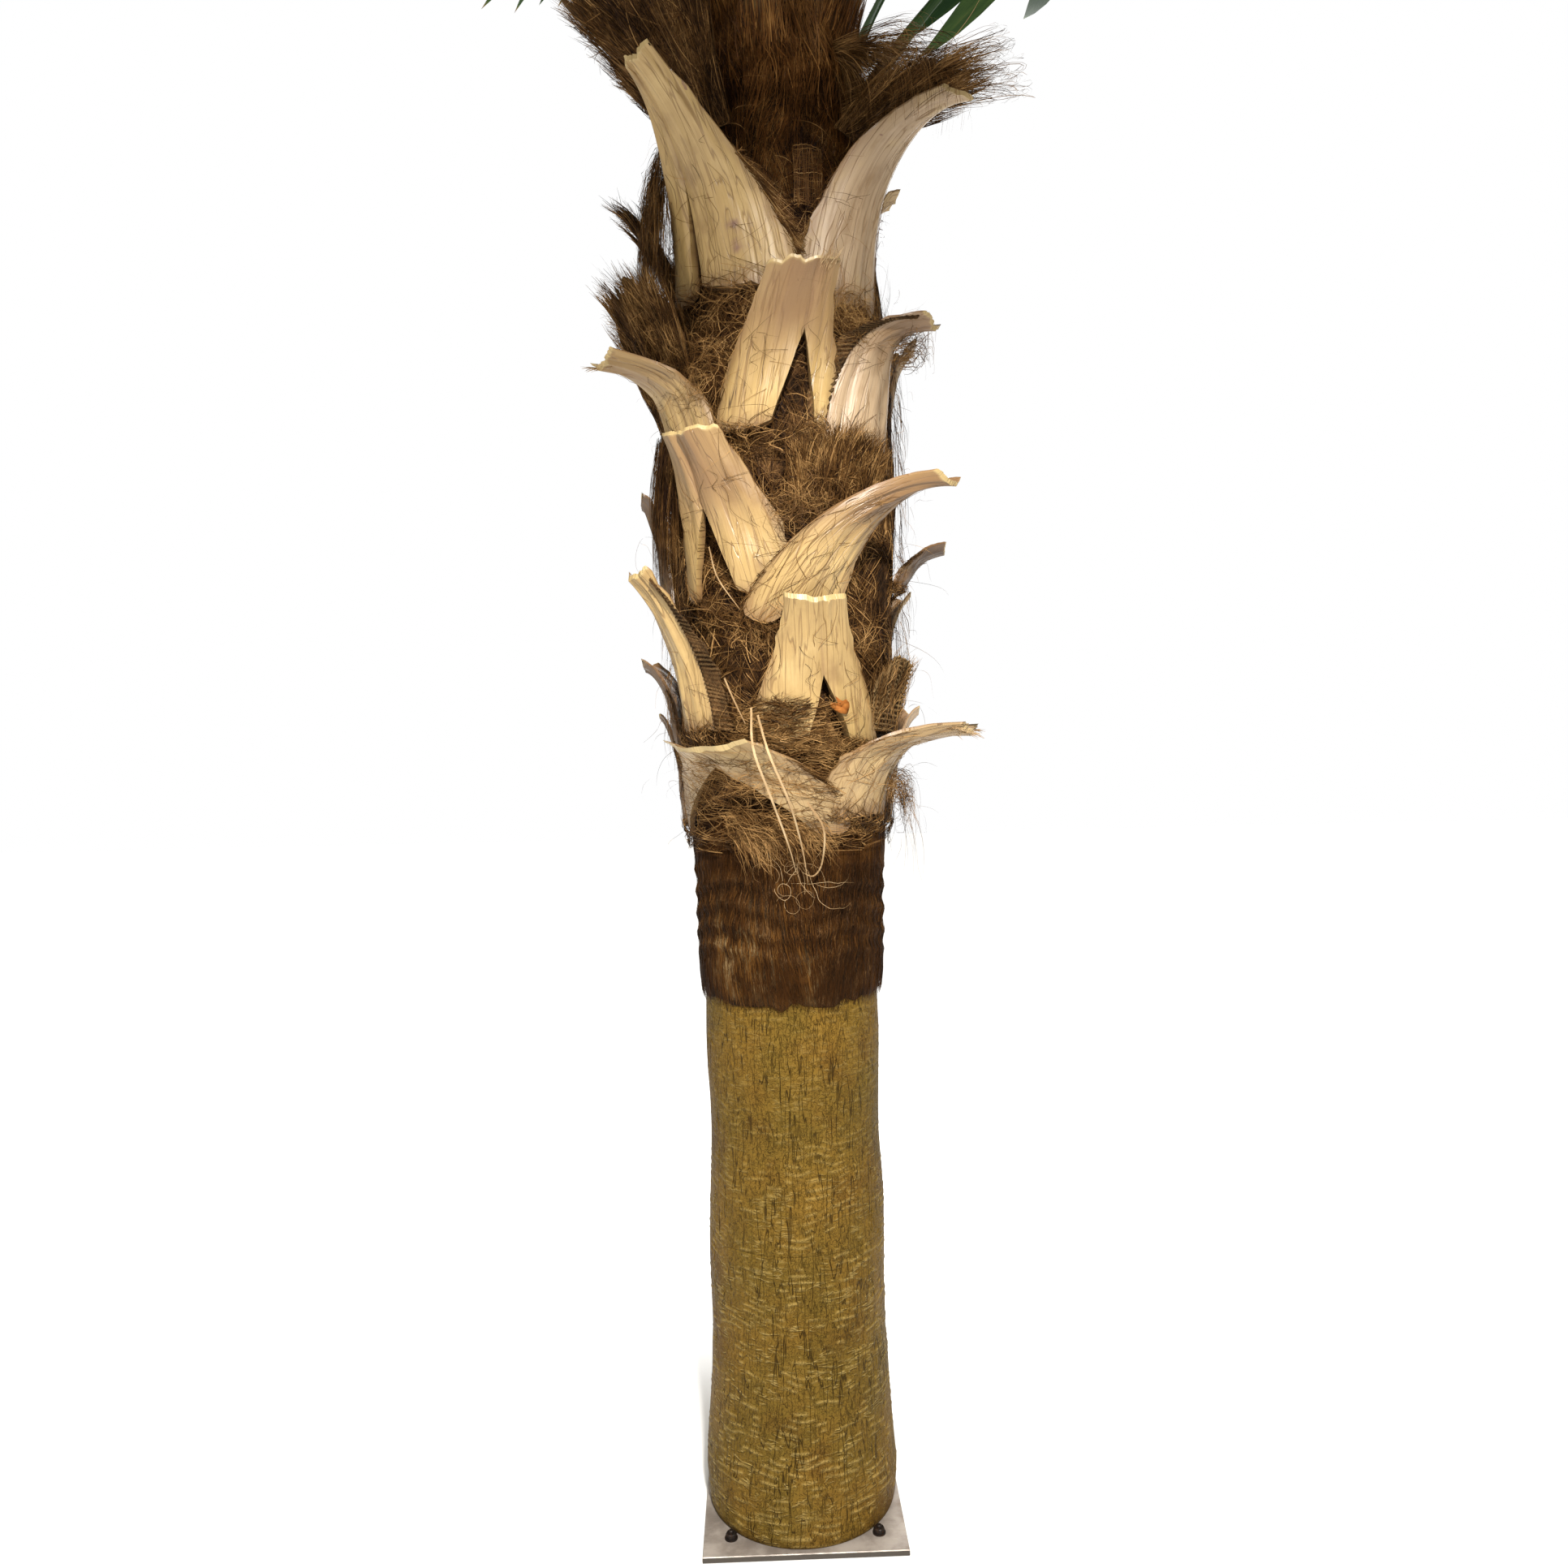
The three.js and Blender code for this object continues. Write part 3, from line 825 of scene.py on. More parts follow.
def add_piece(
    name: str, shape: Skin | Mesh, material: Material, nodes: Sequence[str] = ()
) -> None:
    """Puts a finished shape in the scene as a piece of the palm.

    Args:
        name: Name of the piece.
        shape: Its skin or mesh, in place.
        material: Its finish.
        nodes: Solids that it stands for.
    """
    mesh = shape.to_mesh(name) if isinstance(shape, Skin) else shape
    piece = bpy.data.objects.new(name, mesh)
    bpy.context.scene.collection.objects.link(piece)
    mesh.materials.clear()
    mesh.materials.append(material)
    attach(piece, BODY)
    if nodes:
        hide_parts(*nodes)
    mesh.calc_loop_triangles()
    LOG.info("%s: %d triangles", name, len(mesh.loop_triangles))


class NodeSetup(Nodes):
    """A Geometry Nodes tree that sets copies of a pattern and leaves a plain mesh."""

    def __init__(self, name: str, pattern: Mesh) -> None:
        """Makes an empty tree with a geometry input and output."""
        super().__init__(bpy.data.node_groups.new(name, "GeometryNodeTree"))
        for way in ("INPUT", "OUTPUT"):
            self.tree.interface.new_socket("Geometry", in_out=way, socket_type="NodeSocketGeometry")
        self.start = self.tree.nodes.new("NodeGroupInput")
        self.end = self.tree.nodes.new("NodeGroupOutput")
        self.pattern = bpy.data.objects.new(name, pattern)
        self.settings: dict[str, Any] = {}

    def size(self, name: str, value: Any, kind: str = "NodeSocketFloat") -> Field:
        """Adds a named input.

        Args:
            name: Name of the input.
            value: What it is set to.
            kind: Socket type.

        Returns:
            The field that carries it.
        """
        socket = self.tree.interface.new_socket(name, in_out="INPUT", socket_type=kind)
        self.settings[socket.identifier] = value
        return Field(self, self.start.outputs[name])

    def copies(self, points: Field, rotation: Field, material: Material) -> None:
        """Sets the pattern on points, as real faces of one material, and ends the tree."""
        source = self.node("GeometryNodeObjectInfo", {"Object": self.pattern}, "Geometry")
        inputs = {"Points": points, "Instance": source, "Rotation": rotation}
        placed = self.node("GeometryNodeInstanceOnPoints", inputs)
        real = self.node("GeometryNodeRealizeInstances", {"Geometry": placed})
        dressed = self.node("GeometryNodeSetMaterial", {"Geometry": real, "Material": material})
        self.feed(self.end.inputs[0], dressed)

    def run(self, mesh: Mesh, name: str) -> Mesh:
        """Runs the tree on a mesh.

        Args:
            mesh: The mesh that the tree starts from.
            name: Name of the result.

        Returns:
            The result as a plain mesh.
        """
        carrier = bpy.data.objects.new(name + "_carrier", mesh)
        bpy.context.scene.collection.objects.link(carrier)
        modifier = carrier.modifiers.new(name, "NODES")
        modifier.node_group = self.tree
        for identifier, value in self.settings.items():
            modifier[identifier] = value
        graph = bpy.context.evaluated_depsgraph_get()
        result = bpy.data.meshes.new_from_object(carrier.evaluated_get(graph))
        result.name = name
        carrier.modifiers.remove(modifier)
        for spent in (carrier, self.pattern):
            bpy.data.objects.remove(spent)
        return result


# Base


@dataclass
class Base:
    """Square steel plate with an anchor bolt in each corner."""

    side: float = 0.400
    thickness: float = 0.012
    bevel: float = 0.0015
    bolt_offset: float = 0.146
    bolt_sides: int = 24
    across_flats: float = 0.019
    head_height: float = 0.009
    head_chamfer: float = 0.0012
    washer_radius: float = 0.013
    washer_height: float = 0.0025
    stud_radius: float = 0.005
    stud_height: float = 0.005
    stud_chamfer: float = 0.001
    stud_middle: float = 0.0002
    seed: int = 5

    def build(self, finishes: Finishes) -> None:
        """Builds and dresses the plate and its bolts."""
        add_piece("plate", self._plate(), finishes["plate"], ["base_plate"])
        bolts = [f"anchor_bolt_{number}" for number in range(1, 5)]
        add_piece("bolts", self._bolts(finishes["bolt"]), finishes["bolt"], bolts)

    def _plate(self) -> Skin:
        """Returns the plate with its bevelled edges."""
        half, top = self.side / 2, self.thickness
        levels = ((0.0, self.bevel), (self.bevel, 0.0), (top - self.bevel, 0.0), (top, self.bevel))
        corners = ((-1, -1), (1, -1), (1, 1), (-1, 1))
        points = [(x * (half - inset), y * (half - inset), z) for z, inset in levels for x, y in corners]
        quads = np.concatenate([grid_quads(4, 4, closed=True), [[3, 2, 1, 0], [12, 13, 14, 15]]])
        return Skin(np.array(points), quads, sharp=quad_edges(quads))

    def _bolt(self) -> Mesh:
        """Returns one bolt: a round washer, a chamfered hexagon head and the end of the stud."""
        turn = np.arange(self.bolt_sides) / self.bolt_sides * 2 * math.pi
        flat = self.across_flats / 2
        hexagon = flat / np.cos((turn + math.pi / 6) % (math.pi / 3) - math.pi / 6)
        top = self.washer_height + self.head_height
        end = top + self.stud_height
        rings = (
            (self.washer_radius, 0.0),
            (self.washer_radius, self.washer_height),
            (hexagon, self.washer_height),
            (hexagon, top - self.head_chamfer),
            (np.minimum(hexagon, flat * 0.98), top),
            (self.stud_radius, top),
            (self.stud_radius, end - self.stud_chamfer),
            (self.stud_radius - self.stud_chamfer, end),
            (self.stud_middle, end),
        )
        points = np.concatenate([on_bearing(radius, turn, height) for radius, height in rings])
        quads = grid_quads(len(rings), self.bolt_sides, closed=True)
        sharp = np.concatenate([quads[:, [0, 1]], quads[:, [2, 3]]])
        return Skin(points, quads, sharp=sharp).to_mesh("bolt")

    def _bolts(self, material: Material) -> Mesh:
        """Returns the bolts, set on the plate's corners by Geometry Nodes."""
        setup = NodeSetup("Bolt square", self._bolt())
        spacing = setup.size("Bolt spacing", 2 * self.bolt_offset)
        height = setup.size("Plate top", self.thickness)
        seed = setup.size("Seed", self.seed, "NodeSocketInt")
        grid = {"Size X": spacing, "Size Y": spacing, "Vertices X": 2, "Vertices Y": 2}
        corners = setup.node("GeometryNodeMeshGrid", grid, "Mesh")
        lift = setup.node("ShaderNodeCombineXYZ", {"Z": height})
        lifted = setup.node("GeometryNodeSetPosition", {"Geometry": corners, "Offset": lift})
        angles = {0: (0.0, 0.0, 0.0), 1: (0.0, 0.0, math.pi), "Seed": seed}
        turn = setup.node("FunctionNodeRandomValue", angles, data_type="FLOAT_VECTOR")
        setup.copies(lifted, turn, material)
        return setup.run(bpy.data.meshes.new("bolt_points"), "bolts")


# Trunk


@dataclass
class Trunk:
    """Moulded trunk with its bark in relief, from the plate to the tip in the crown."""

    around: int = 400
    step: float = 0.0028
    rounding: float = 0.03
    seam: float = 0.575
    bark_top: float = 1.13
    core_rows: int = 26
    lump: float = 0.0024
    crease: float = 0.0145
    fold: float = 0.0015
    groove: float = 0.0016
    hem: float = 1.04
    seed: int = 11

    def build(self, finishes: Finishes) -> None:
        """Builds and dresses the trunk in two lengths."""
        foot, tip = TRUNK_OUTLINE.heights[0] * MM, TRUNK_OUTLINE.heights[-1] * MM
        rounding = foot + self.rounding * (1 - np.cos(np.linspace(0, math.pi / 2, 8)))
        lower = np.arange(rounding[-1] + self.step, self.seam - self.step / 2, self.step)
        upper = np.arange(self.seam, self.bark_top, self.step)
        lower = np.concatenate([rounding, lower, [self.seam]])
        upper = np.concatenate([upper, np.linspace(self.bark_top, tip, self.core_rows)])
        add_piece("bark_lower", self._skin(lower), finishes["bark"], ["trunk"])
        add_piece("bark_upper", self._skin(upper), finishes["bark"])

    def _skin(self, height: Array) -> Skin:
        """Returns one length of the trunk as a closed skin, with bark in relief up to the sleeve."""
        turn, rows = (np.arange(self.around) / self.around * 2 * math.pi)[None, :], height[:, None]
        foot = TRUNK_OUTLINE.heights[0] * MM
        noise = lambda index, cells, spacing: RingNoise(self.seed + index, cells, spacing).at(turn, rows)
        crest = lambda value, width: np.exp(-((value / width) ** 2))
        lumps = noise(0, 9, 0.16) + 0.5 * noise(1, 22, 0.07)
        low = 0.35 + 0.65 * ease((0.95 - rows) / 0.5)
        rings = rows / self.crease + 1.1 * noise(7, 8, 0.2) + 0.45 * noise(5, 30, 0.05)
        gate = ease((noise(3, 60, 0.016) - 0.05 + 0.3 * noise(6, 12, 0.09)) / 0.45)
        folds = crest(rings - np.round(rings), 0.17) * gate * low
        grooves = crest(noise(2, 120, 0.055), 0.06) * ease((noise(8, 34, 0.08) - 0.15) / 0.4)
        settle = ease((rows - foot) / self.rounding) * ease((self.bark_top + 0.02 - rows) / 0.04)
        share = np.sqrt(1 - (1 - np.clip((rows - foot) / self.rounding, 0.0, 1.0)) ** 2)
        rounded = blend(TRUNK_OUTLINE.at(foot), TRUNK_OUTLINE.at(foot + self.rounding), share)
        radius = np.where(rows < foot + self.rounding, rounded, TRUNK_OUTLINE.at(rows))
        relief = self.lump * lumps + self.fold * (folds - 0.3) - self.groove * grooves
        points = on_bearing(radius + settle * relief, turn, rows).reshape(-1, 3)
        hem = ease((rows - self.hem - 0.02 * noise(4, 40, 0.2)) / 0.05)
        stain = np.clip(0.35 * ease((0.05 - rows) / 0.05) + 0.6 * hem, 0, 1) + 0 * turn
        # fold and groove carry the relief into the bark's colour: painted highlight on the fold crests,
        # painted shade in the grooves.
        values = {"stain": stain.ravel(), "fold": folds.ravel(), "groove": (0.9 * grooves).ravel()}
        skin = Skin(points, grid_quads(len(height), self.around, closed=True), values)
        for row, up in ((0, False), (len(height) - 1, True)):
            self._close(skin, row, height[row], up)
        return skin

    def _close(self, skin: Skin, row: int, height: float, up: bool) -> None:
        """Closes one end of the skin with a middle point."""
        ring = row * self.around + np.arange(self.around)
        pairs = ring.reshape(-1, 2)
        third = np.roll(ring, -2).reshape(-1, 2)[:, 0]
        quads = np.stack([pairs[:, 0], pairs[:, 1], third, np.full(len(pairs), len(skin.points))], axis=1)
        skin.points = np.concatenate([skin.points, [[0.0, 0.0, height]]])
        skin.quads = np.concatenate([skin.quads, quads if up else quads[:, ::-1]])
        skin.values = {key: np.append(value, 0.0) for key, value in skin.values.items()}


# Sleeve


@dataclass
class Sleeve:
    """Fibre sleeve round the upper trunk: felted ground, ripples, a ragged hem and loose fibres."""

    around: int = 200
    rows: int = 230
    ripple: float = 0.0034
    pitch: float = 0.044
    lump: float = 0.0045
    hem: float = 1.078
    comb_top: float = 1.47
    heart: float = 2.70
    heart_roots: float = 3.15
    heart_top: float = 3.225
    petiole_feet: float = 2.84
    ripple_band: tuple[float, float] = (1.12, 1.40)
    lump_band: tuple[float, float] = (1.38, 3.15)
    tuft_band: tuple[float, float] = (1.42, 2.8)
    combed_fibres: int = 17000
    heart_fibres: int = 9000
    clumps: int = 720
    clump_fibres: int = 21
    seed: int = 21
    tuft_seeds: tuple[int, ...] = (3, 8)
    tuft_density: float = 75.0
    tuft_swing: float = 0.9
    noises: list[RingNoise] = field(init=False)

    def __post_init__(self) -> None:
        """Makes the noises that shape the sleeve."""
        self.noises = [
            RingNoise(self.seed, 11, 0.10),
            RingNoise(self.seed + 1, 30, 0.045),
            RingNoise(self.seed + 2, 7, 0.5),
            RingNoise(self.seed + 3, 44, 0.5),
        ]

    def waves(self, bearing: Array, height: Array) -> Array:
        """Returns the ripples round the lower sleeve, from -1 in a fold to 1 on a crest."""
        big, _, drift, _ = self.noises
        band = between(height, self.ripple_band, 0.05, 0.1)
        wander = 0.030 * drift.at(bearing, height) + 0.012 * big.at(bearing, height)
        return band * np.sin((height + wander) / self.pitch * 2 * math.pi)

    def radius(self, bearing: Array, height: Array) -> Array:
        """Returns the sleeve's outer radius with its ripples and lumps."""
        bearing, height = np.broadcast_arrays(bearing, height)
        big, small, _, _ = self.noises
        upper = between(height, self.lump_band, 0.1, 0.2)
        lumps = self.lump * (big.at(bearing, height) + 0.5 * small.at(bearing, height))
        lumps = (0.2 + 0.8 * upper) * lumps * ease((height - 1.07) / 0.06)
        return SLEEVE_OUTLINE.at(height) + self.ripple * self.waves(bearing, height) + lumps

    def hem_height(self, bearing: Array) -> Array:
        """Returns the height of the ragged hem, a little lower at the front."""
        level = np.full_like(bearing, 1.0)
        wander = 0.010 * self.noises[2].at(bearing, level)
        return self.hem - 0.011 * np.cos(bearing) + wander + 0.010 * self.noises[3].at(bearing, level)

    def build(self, finishes: Finishes) -> None:
        """Builds and dresses the sleeve and its fibres."""
        ground, fibre = self._ground(), finishes["fibre"]
        add_piece("sleeve_ground", ground, finishes["sleeve"], ["fibre_sleeve"])
        add_piece("sleeve_combed", self._combed(), finishes["combed"])
        add_piece("sleeve_heart", self._heart(), finishes["heart"])
        add_piece("sleeve_matted", self._matted(), fibre)
        for number, seed in enumerate(self.tuft_seeds, start=1):
            name = f"sleeve_tufts_{number}"
            add_piece(name, self._tufts(ground, seed, fibre, name), fibre)

    def _ground(self) -> Skin:
        """Returns the felted skin of the sleeve, turned in over the trunk at both ends."""
        bearing = (np.arange(self.around) / self.around * 2 * math.pi)[None, :]
        share = np.linspace(0.0, 1.0, self.rows)[:, None]
        hem, top = self.hem_height(bearing), SLEEVE_OUTLINE.heights[-1] * MM
        height = blend(hem, top, share)
        radius = self.radius(bearing, height)
        radius = np.where(share < 0.006, TRUNK_OUTLINE.at(height) + 0.0025, radius)
        inner_hem = on_bearing(TRUNK_OUTLINE.at(hem) - 0.004, bearing, hem + 0.004)
        inner_top = on_bearing(TRUNK_OUTLINE.at(top) + 0.0006, bearing, top - 0.002)
        points = np.concatenate([inner_hem, on_bearing(radius, bearing, height), inner_top])
        tufts = between(height, self.tuft_band, 0.08, 0.15)
        ends = lambda value: np.concatenate([value[:1], value, value[-1:]]).ravel()
        values = {"pale": ends(self._pale(bearing, height)), "tufts": ends(tufts)}
        return Skin(points.reshape(-1, 3), grid_quads(len(points), self.around, closed=True), values)

    def _pale(self, bearing: Array, height: Array) -> Array:
        """Returns how worn the felt is: patches low on the left and by the hem at the front."""
        patch = spot(bearing, height, (-0.7, 1.16), (0.35, 0.07))
        patch = patch + 0.7 * spot(bearing, height, (0.17, 1.115), (0.07, 0.045))
        speckle = ease((self.noises[1].at(bearing * 3, height * 3) + 0.1) / 0.5)
        return np.clip(patch * speckle, 0.0, 0.75)

    def _painted_hollow_shade(self, bearing: Array, height: Array) -> Array:
        """Returns how much painted shade darkens a fibre: in the hollows beside the heart."""
        hollows = (spot(bearing, height, place, (0.28, 0.13)) for place in ((0.45, 2.72), (-0.55, 2.82)))
        return np.clip(sum(hollows), 0.0, 1.0)

    def _combed(self) -> Skin:
        """Returns the short fibres combed down the lower sleeve."""
        draws, t = Draws(self.seed + 10, self.combed_fibres), stations(4)
        bearing = draws.even(0, 2 * math.pi)
        top = draws.even(self.hem + 0.01, self.comb_top)
        length = draws.even(0.025, 0.07) * (1 + ease((top - 1.36) / 0.08))
        sweep = 0.10 * self.noises[0].at(bearing, top) + draws.bell(0.05)
        turn = bearing + sweep * t * length / 0.1
        low = self.hem_height(turn) - 0.010 * draws.even(0, 1)
        height = np.maximum(top - length * t, low)
        lift = draws.even(0.0002, 0.0022) * bow(0.15, 0.75, t) + 0.0005
        base = np.maximum(self.radius(turn, height), TRUNK_OUTLINE.at(height) + 0.001)
        # crest paints the ripples: lighter fibres on the crests and darker ones in the folds, as painted
        # light and shade, plus a random variation.
        crest = 0.28 * self.waves(turn, height - 0.006)[:, 1] + 0.12 * self.noises[0].at(bearing, top)[:, 0]
        pale = 0.5 * self._pale(bearing, top)[:, 0] + 0.12 * ease((top[:, 0] - 1.3) / 0.15)
        paths = on_bearing(base + lift, turn, height)
        return draws.fibres(paths, (0.0006, 0.0013), (0.38 + crest + pale, 0.08), 0.4)

    def _heart(self) -> Skin:
        """Returns the fibres combed up the heart of the crown, over the feet of the petioles."""
        draws, t = Draws(self.seed + 11, self.heart_fibres), stations(5)
        bearing = draws.even(0, 2 * math.pi)
        start = draws.even(self.heart - 0.1, self.heart_roots)
        length = draws.even(0.06, 0.17)
        sweep = 0.35 * self.noises[0].at(bearing, start) + draws.bell(0.12)
        turn = bearing + sweep * t + 0.03 * np.sin(t * 5 + bearing * 9)
        height = np.minimum(start + length * t, self.heart_top)
        over = 0.026 * ease((height - self.petiole_feet) / 0.06)
        lift = draws.even(0.001, 0.008) * bow(0.1, 0.8, t) + over * draws.even(0.6, 1.15)
        # Fibres in the hollows beside the heart are darkened by painted shade.
        tone = 0.46 - 0.4 * self._painted_hollow_shade(turn, height)[:, 2]
        paths = on_bearing(self.radius(turn, height) + lift, turn, height)
        return draws.fibres(paths, (0.0007, 0.0016), (tone, 0.17))

    def _matted(self) -> Skin:
        """Returns the long fibres that flow in clumps over the sleeve between the leaf bases."""
        each, steps = self.clump_fibres, 7
        draws, t = Draws(self.seed + 12, self.clumps * each), stations(steps)
        clump = lambda low, high: np.repeat(draws.rng.uniform(low, high, self.clumps), each)[:, None]
        heading = clump(-1.3, 1.3) + draws.bell(0.11) + (clump(-0.9, 0.9) + draws.bell(0.2)) * t
        move = draws.even(0.07, 0.19) / (steps - 1)
        turn = clump(0, 2 * math.pi) + draws.bell(0.055) + np.cumsum(np.sin(heading) * move, axis=1) / 0.22
        height = clump(self.comb_top - 0.08, self.heart + 0.1) + draws.bell(0.012)
        height = np.clip(height + np.cumsum(np.cos(heading) * move, axis=1), self.hem + 0.02, 3.0)
        shade = clump(-0.26, 0.26)[:, 0]
        lift = draws.even(0.0005, 0.005) * bow(0.1, 0.8, t) + 0.0006
        # Fibres in the hollows beside the heart are darkened by painted shade.
        tone = 0.27 + shade - 0.4 * self._painted_hollow_shade(turn, height)[:, 2]
        paths = on_bearing(self.radius(turn, height) + lift, turn, height)
        return draws.fibres(paths, (0.0008, 0.0020), (tone, 0.27))

    def _tuft(self, seed: int) -> Mesh:
        """Returns one flat tuft of curling fibres on the XY plane, combed along Y."""
        count, steps = 12, 7
        draws, t = Draws(seed, count), stations(steps)
        heading = draws.bell(0.45) + draws.bell(0.8) * t
        move = draws.even(0.06, 0.13) / (steps - 1)
        start = draws.rng.normal(0.0, 0.015, (count, 2))
        x = start[:, :1] + np.cumsum(np.sin(heading) * move, axis=1)
        y = start[:, 1:] + np.cumsum(np.cos(heading) * move, axis=1)
        z = draws.even(0.002, 0.010) * bow(0.05, 0.85, t) - x**2 / 0.44 + 0.001
        paths = np.stack([x, y, z], axis=2)
        facing = np.zeros_like(paths) + np.array([0.0, 0.0, 1.0]) + draws.rng.normal(0, 0.4, (count, 1, 3))
        shade = np.clip(draws.bell(0.2, 0.46)[:, 0], 0, 1)
        return ribbons(paths, draws.even(0.0008, 0.0018)[:, 0], facing, shade).to_mesh("tuft")

    def _tufts(self, ground: Skin, seed: int, material: Material, name: str) -> Mesh:
        """Returns tufts scattered over the felt by Geometry Nodes.

        Args:
            ground: The felt, with its share of tufts.
            seed: Seed of the scatter.
            material: Finish of the fibres.
            name: Name of the mesh.

        Returns:
            The tufts as a plain mesh.
        """
        setup = NodeSetup("Fibre tufts", self._tuft(seed))
        density = setup.size("Tufts per square metre", self.tuft_density)
        number = setup.size("Seed", seed, "NodeSocketInt")
        swing = setup.size("Swing", self.tuft_swing)
        share = setup.node("GeometryNodeInputNamedAttribute", {"Name": "tufts"}, data_type="FLOAT")
        felt = Field(setup, setup.start.outputs["Geometry"])
        scatter = {"Mesh": felt, "Density": share * density, "Seed": number}
        points = setup.node("GeometryNodeDistributePointsOnFaces", scatter, "Points")
        stand = {"Rotation": points.beside("Rotation"), "Vector": (0.0, 0.0, 1.0)}
        upright = setup.node("FunctionNodeAlignRotationToVector", stand, axis="Y", pivot_axis="Z")
        swings = {2: swing * -1.0, 3: swing, "Seed": number}
        spin = setup.node("FunctionNodeRandomValue", swings, 1, data_type="FLOAT")
        angles = setup.node("ShaderNodeCombineXYZ", {"Z": spin})
        turn = setup.node("FunctionNodeRotateRotation", {0: upright, 1: angles}, rotation_space="LOCAL")
        setup.copies(points, turn, material)
        return setup.run(ground.to_mesh("tuft_ground"), name)


# Leaf bases and mats


@dataclass(frozen=True)
class Strap:
    """A strap that rises from the sleeve and flares away. Millimetres and degrees."""

    turn: float
    lean: float
    foot: float
    cut: float
    reach: float
    foot_width: float
    cut_width: float
    arch: float
    flare: float
    taper: float = 1.0
    seat: float = 6.0

    def height(self, u: Array) -> Array:
        """Returns the height at u from 0 at the foot to 1 at the cut."""
        return blend(self.foot, self.cut, 1 - np.clip(1 - u, 0.0, None) ** self.arch) * MM

    def radius(self, u: Array) -> Array:
        """Returns the distance from the axis at u."""
        away = self.reach * MM - SLEEVE_OUTLINE.at(self.cut * MM) - self.seat * MM
        return SLEEVE_OUTLINE.at(self.height(u)) + self.seat * MM + away * np.clip(u, 0, None) ** self.flare

    def bearing(self, u: Array) -> Array:
        """Returns the bearing in radians at u."""
        return np.radians(self.turn + self.lean * np.clip(u, 0, None) ** 1.2)

    def width(self, u: Array) -> Array:
        """Returns the width at u."""
        return blend(self.foot_width, self.cut_width, ease(np.clip(u, 0, 1) ** self.taper)) * MM

    def slope(self, u: Array) -> tuple[Array, Array]:
        """Returns how far the centreline runs out and up at u, as a unit step."""
        lower, upper = np.clip(u - 0.01, 0, 1), np.clip(u + 0.01, 0, 1)
        out, up = self.radius(upper) - self.radius(lower), self.height(upper) - self.height(lower)
        length = np.hypot(out, up)
        return out / length, up / length

    def length(self) -> float:
        """Returns about how long its curve is."""
        out = self.reach * MM - float(SLEEVE_OUTLINE.at(self.foot * MM))
        return 1.1 * math.hypot(out, (self.cut - self.foot) * MM)

    def point(self, u: Array, v: Array, depth: Array) -> Array:
        """Returns points on the strap.

        Args:
            u: Place along it.
            v: Place across it from -1 to 1.
            depth: Distance out from its inner face.

        Returns:
            The points.
        """
        u, v, depth = np.broadcast_arrays(u, v, depth)
        out, up = self.slope(u)
        bearing = self.bearing(u) + v * self.width(u) / 2 / self.radius(u)
        return on_bearing(self.radius(u) + up * depth, bearing, self.height(u) - out * depth)

    def beyond(self, u: Array, v: Array, depth: Array) -> Array:
        """Returns points on the strap as point does, run straight on past its end where u is over 1."""
        u, v, depth = np.broadcast_arrays(u, v, depth)
        over = np.clip(u - 1.0, 0.0, None) * self.length()
        top = np.ones_like(u)
        out, up = self.slope(0.99 * top)
        bearing = self.bearing(top) + v * self.width(top) / 2 / self.radius(top)
        return self.point(np.minimum(u, 1.0), v, depth) + on_bearing(out * over, bearing, up * over)


class Tone(Enum):
    """Colours that the leaf bases have dried to."""

    GOLD = 0.0
    BUFF = 0.33
    ROSE = 0.68
    UMBER = 1.0


@dataclass(frozen=True)
class Split:
    """The narrow arch that divides a leaf base's foot."""

    place: float
    width: float
    height: float
    skew: float = 0.0


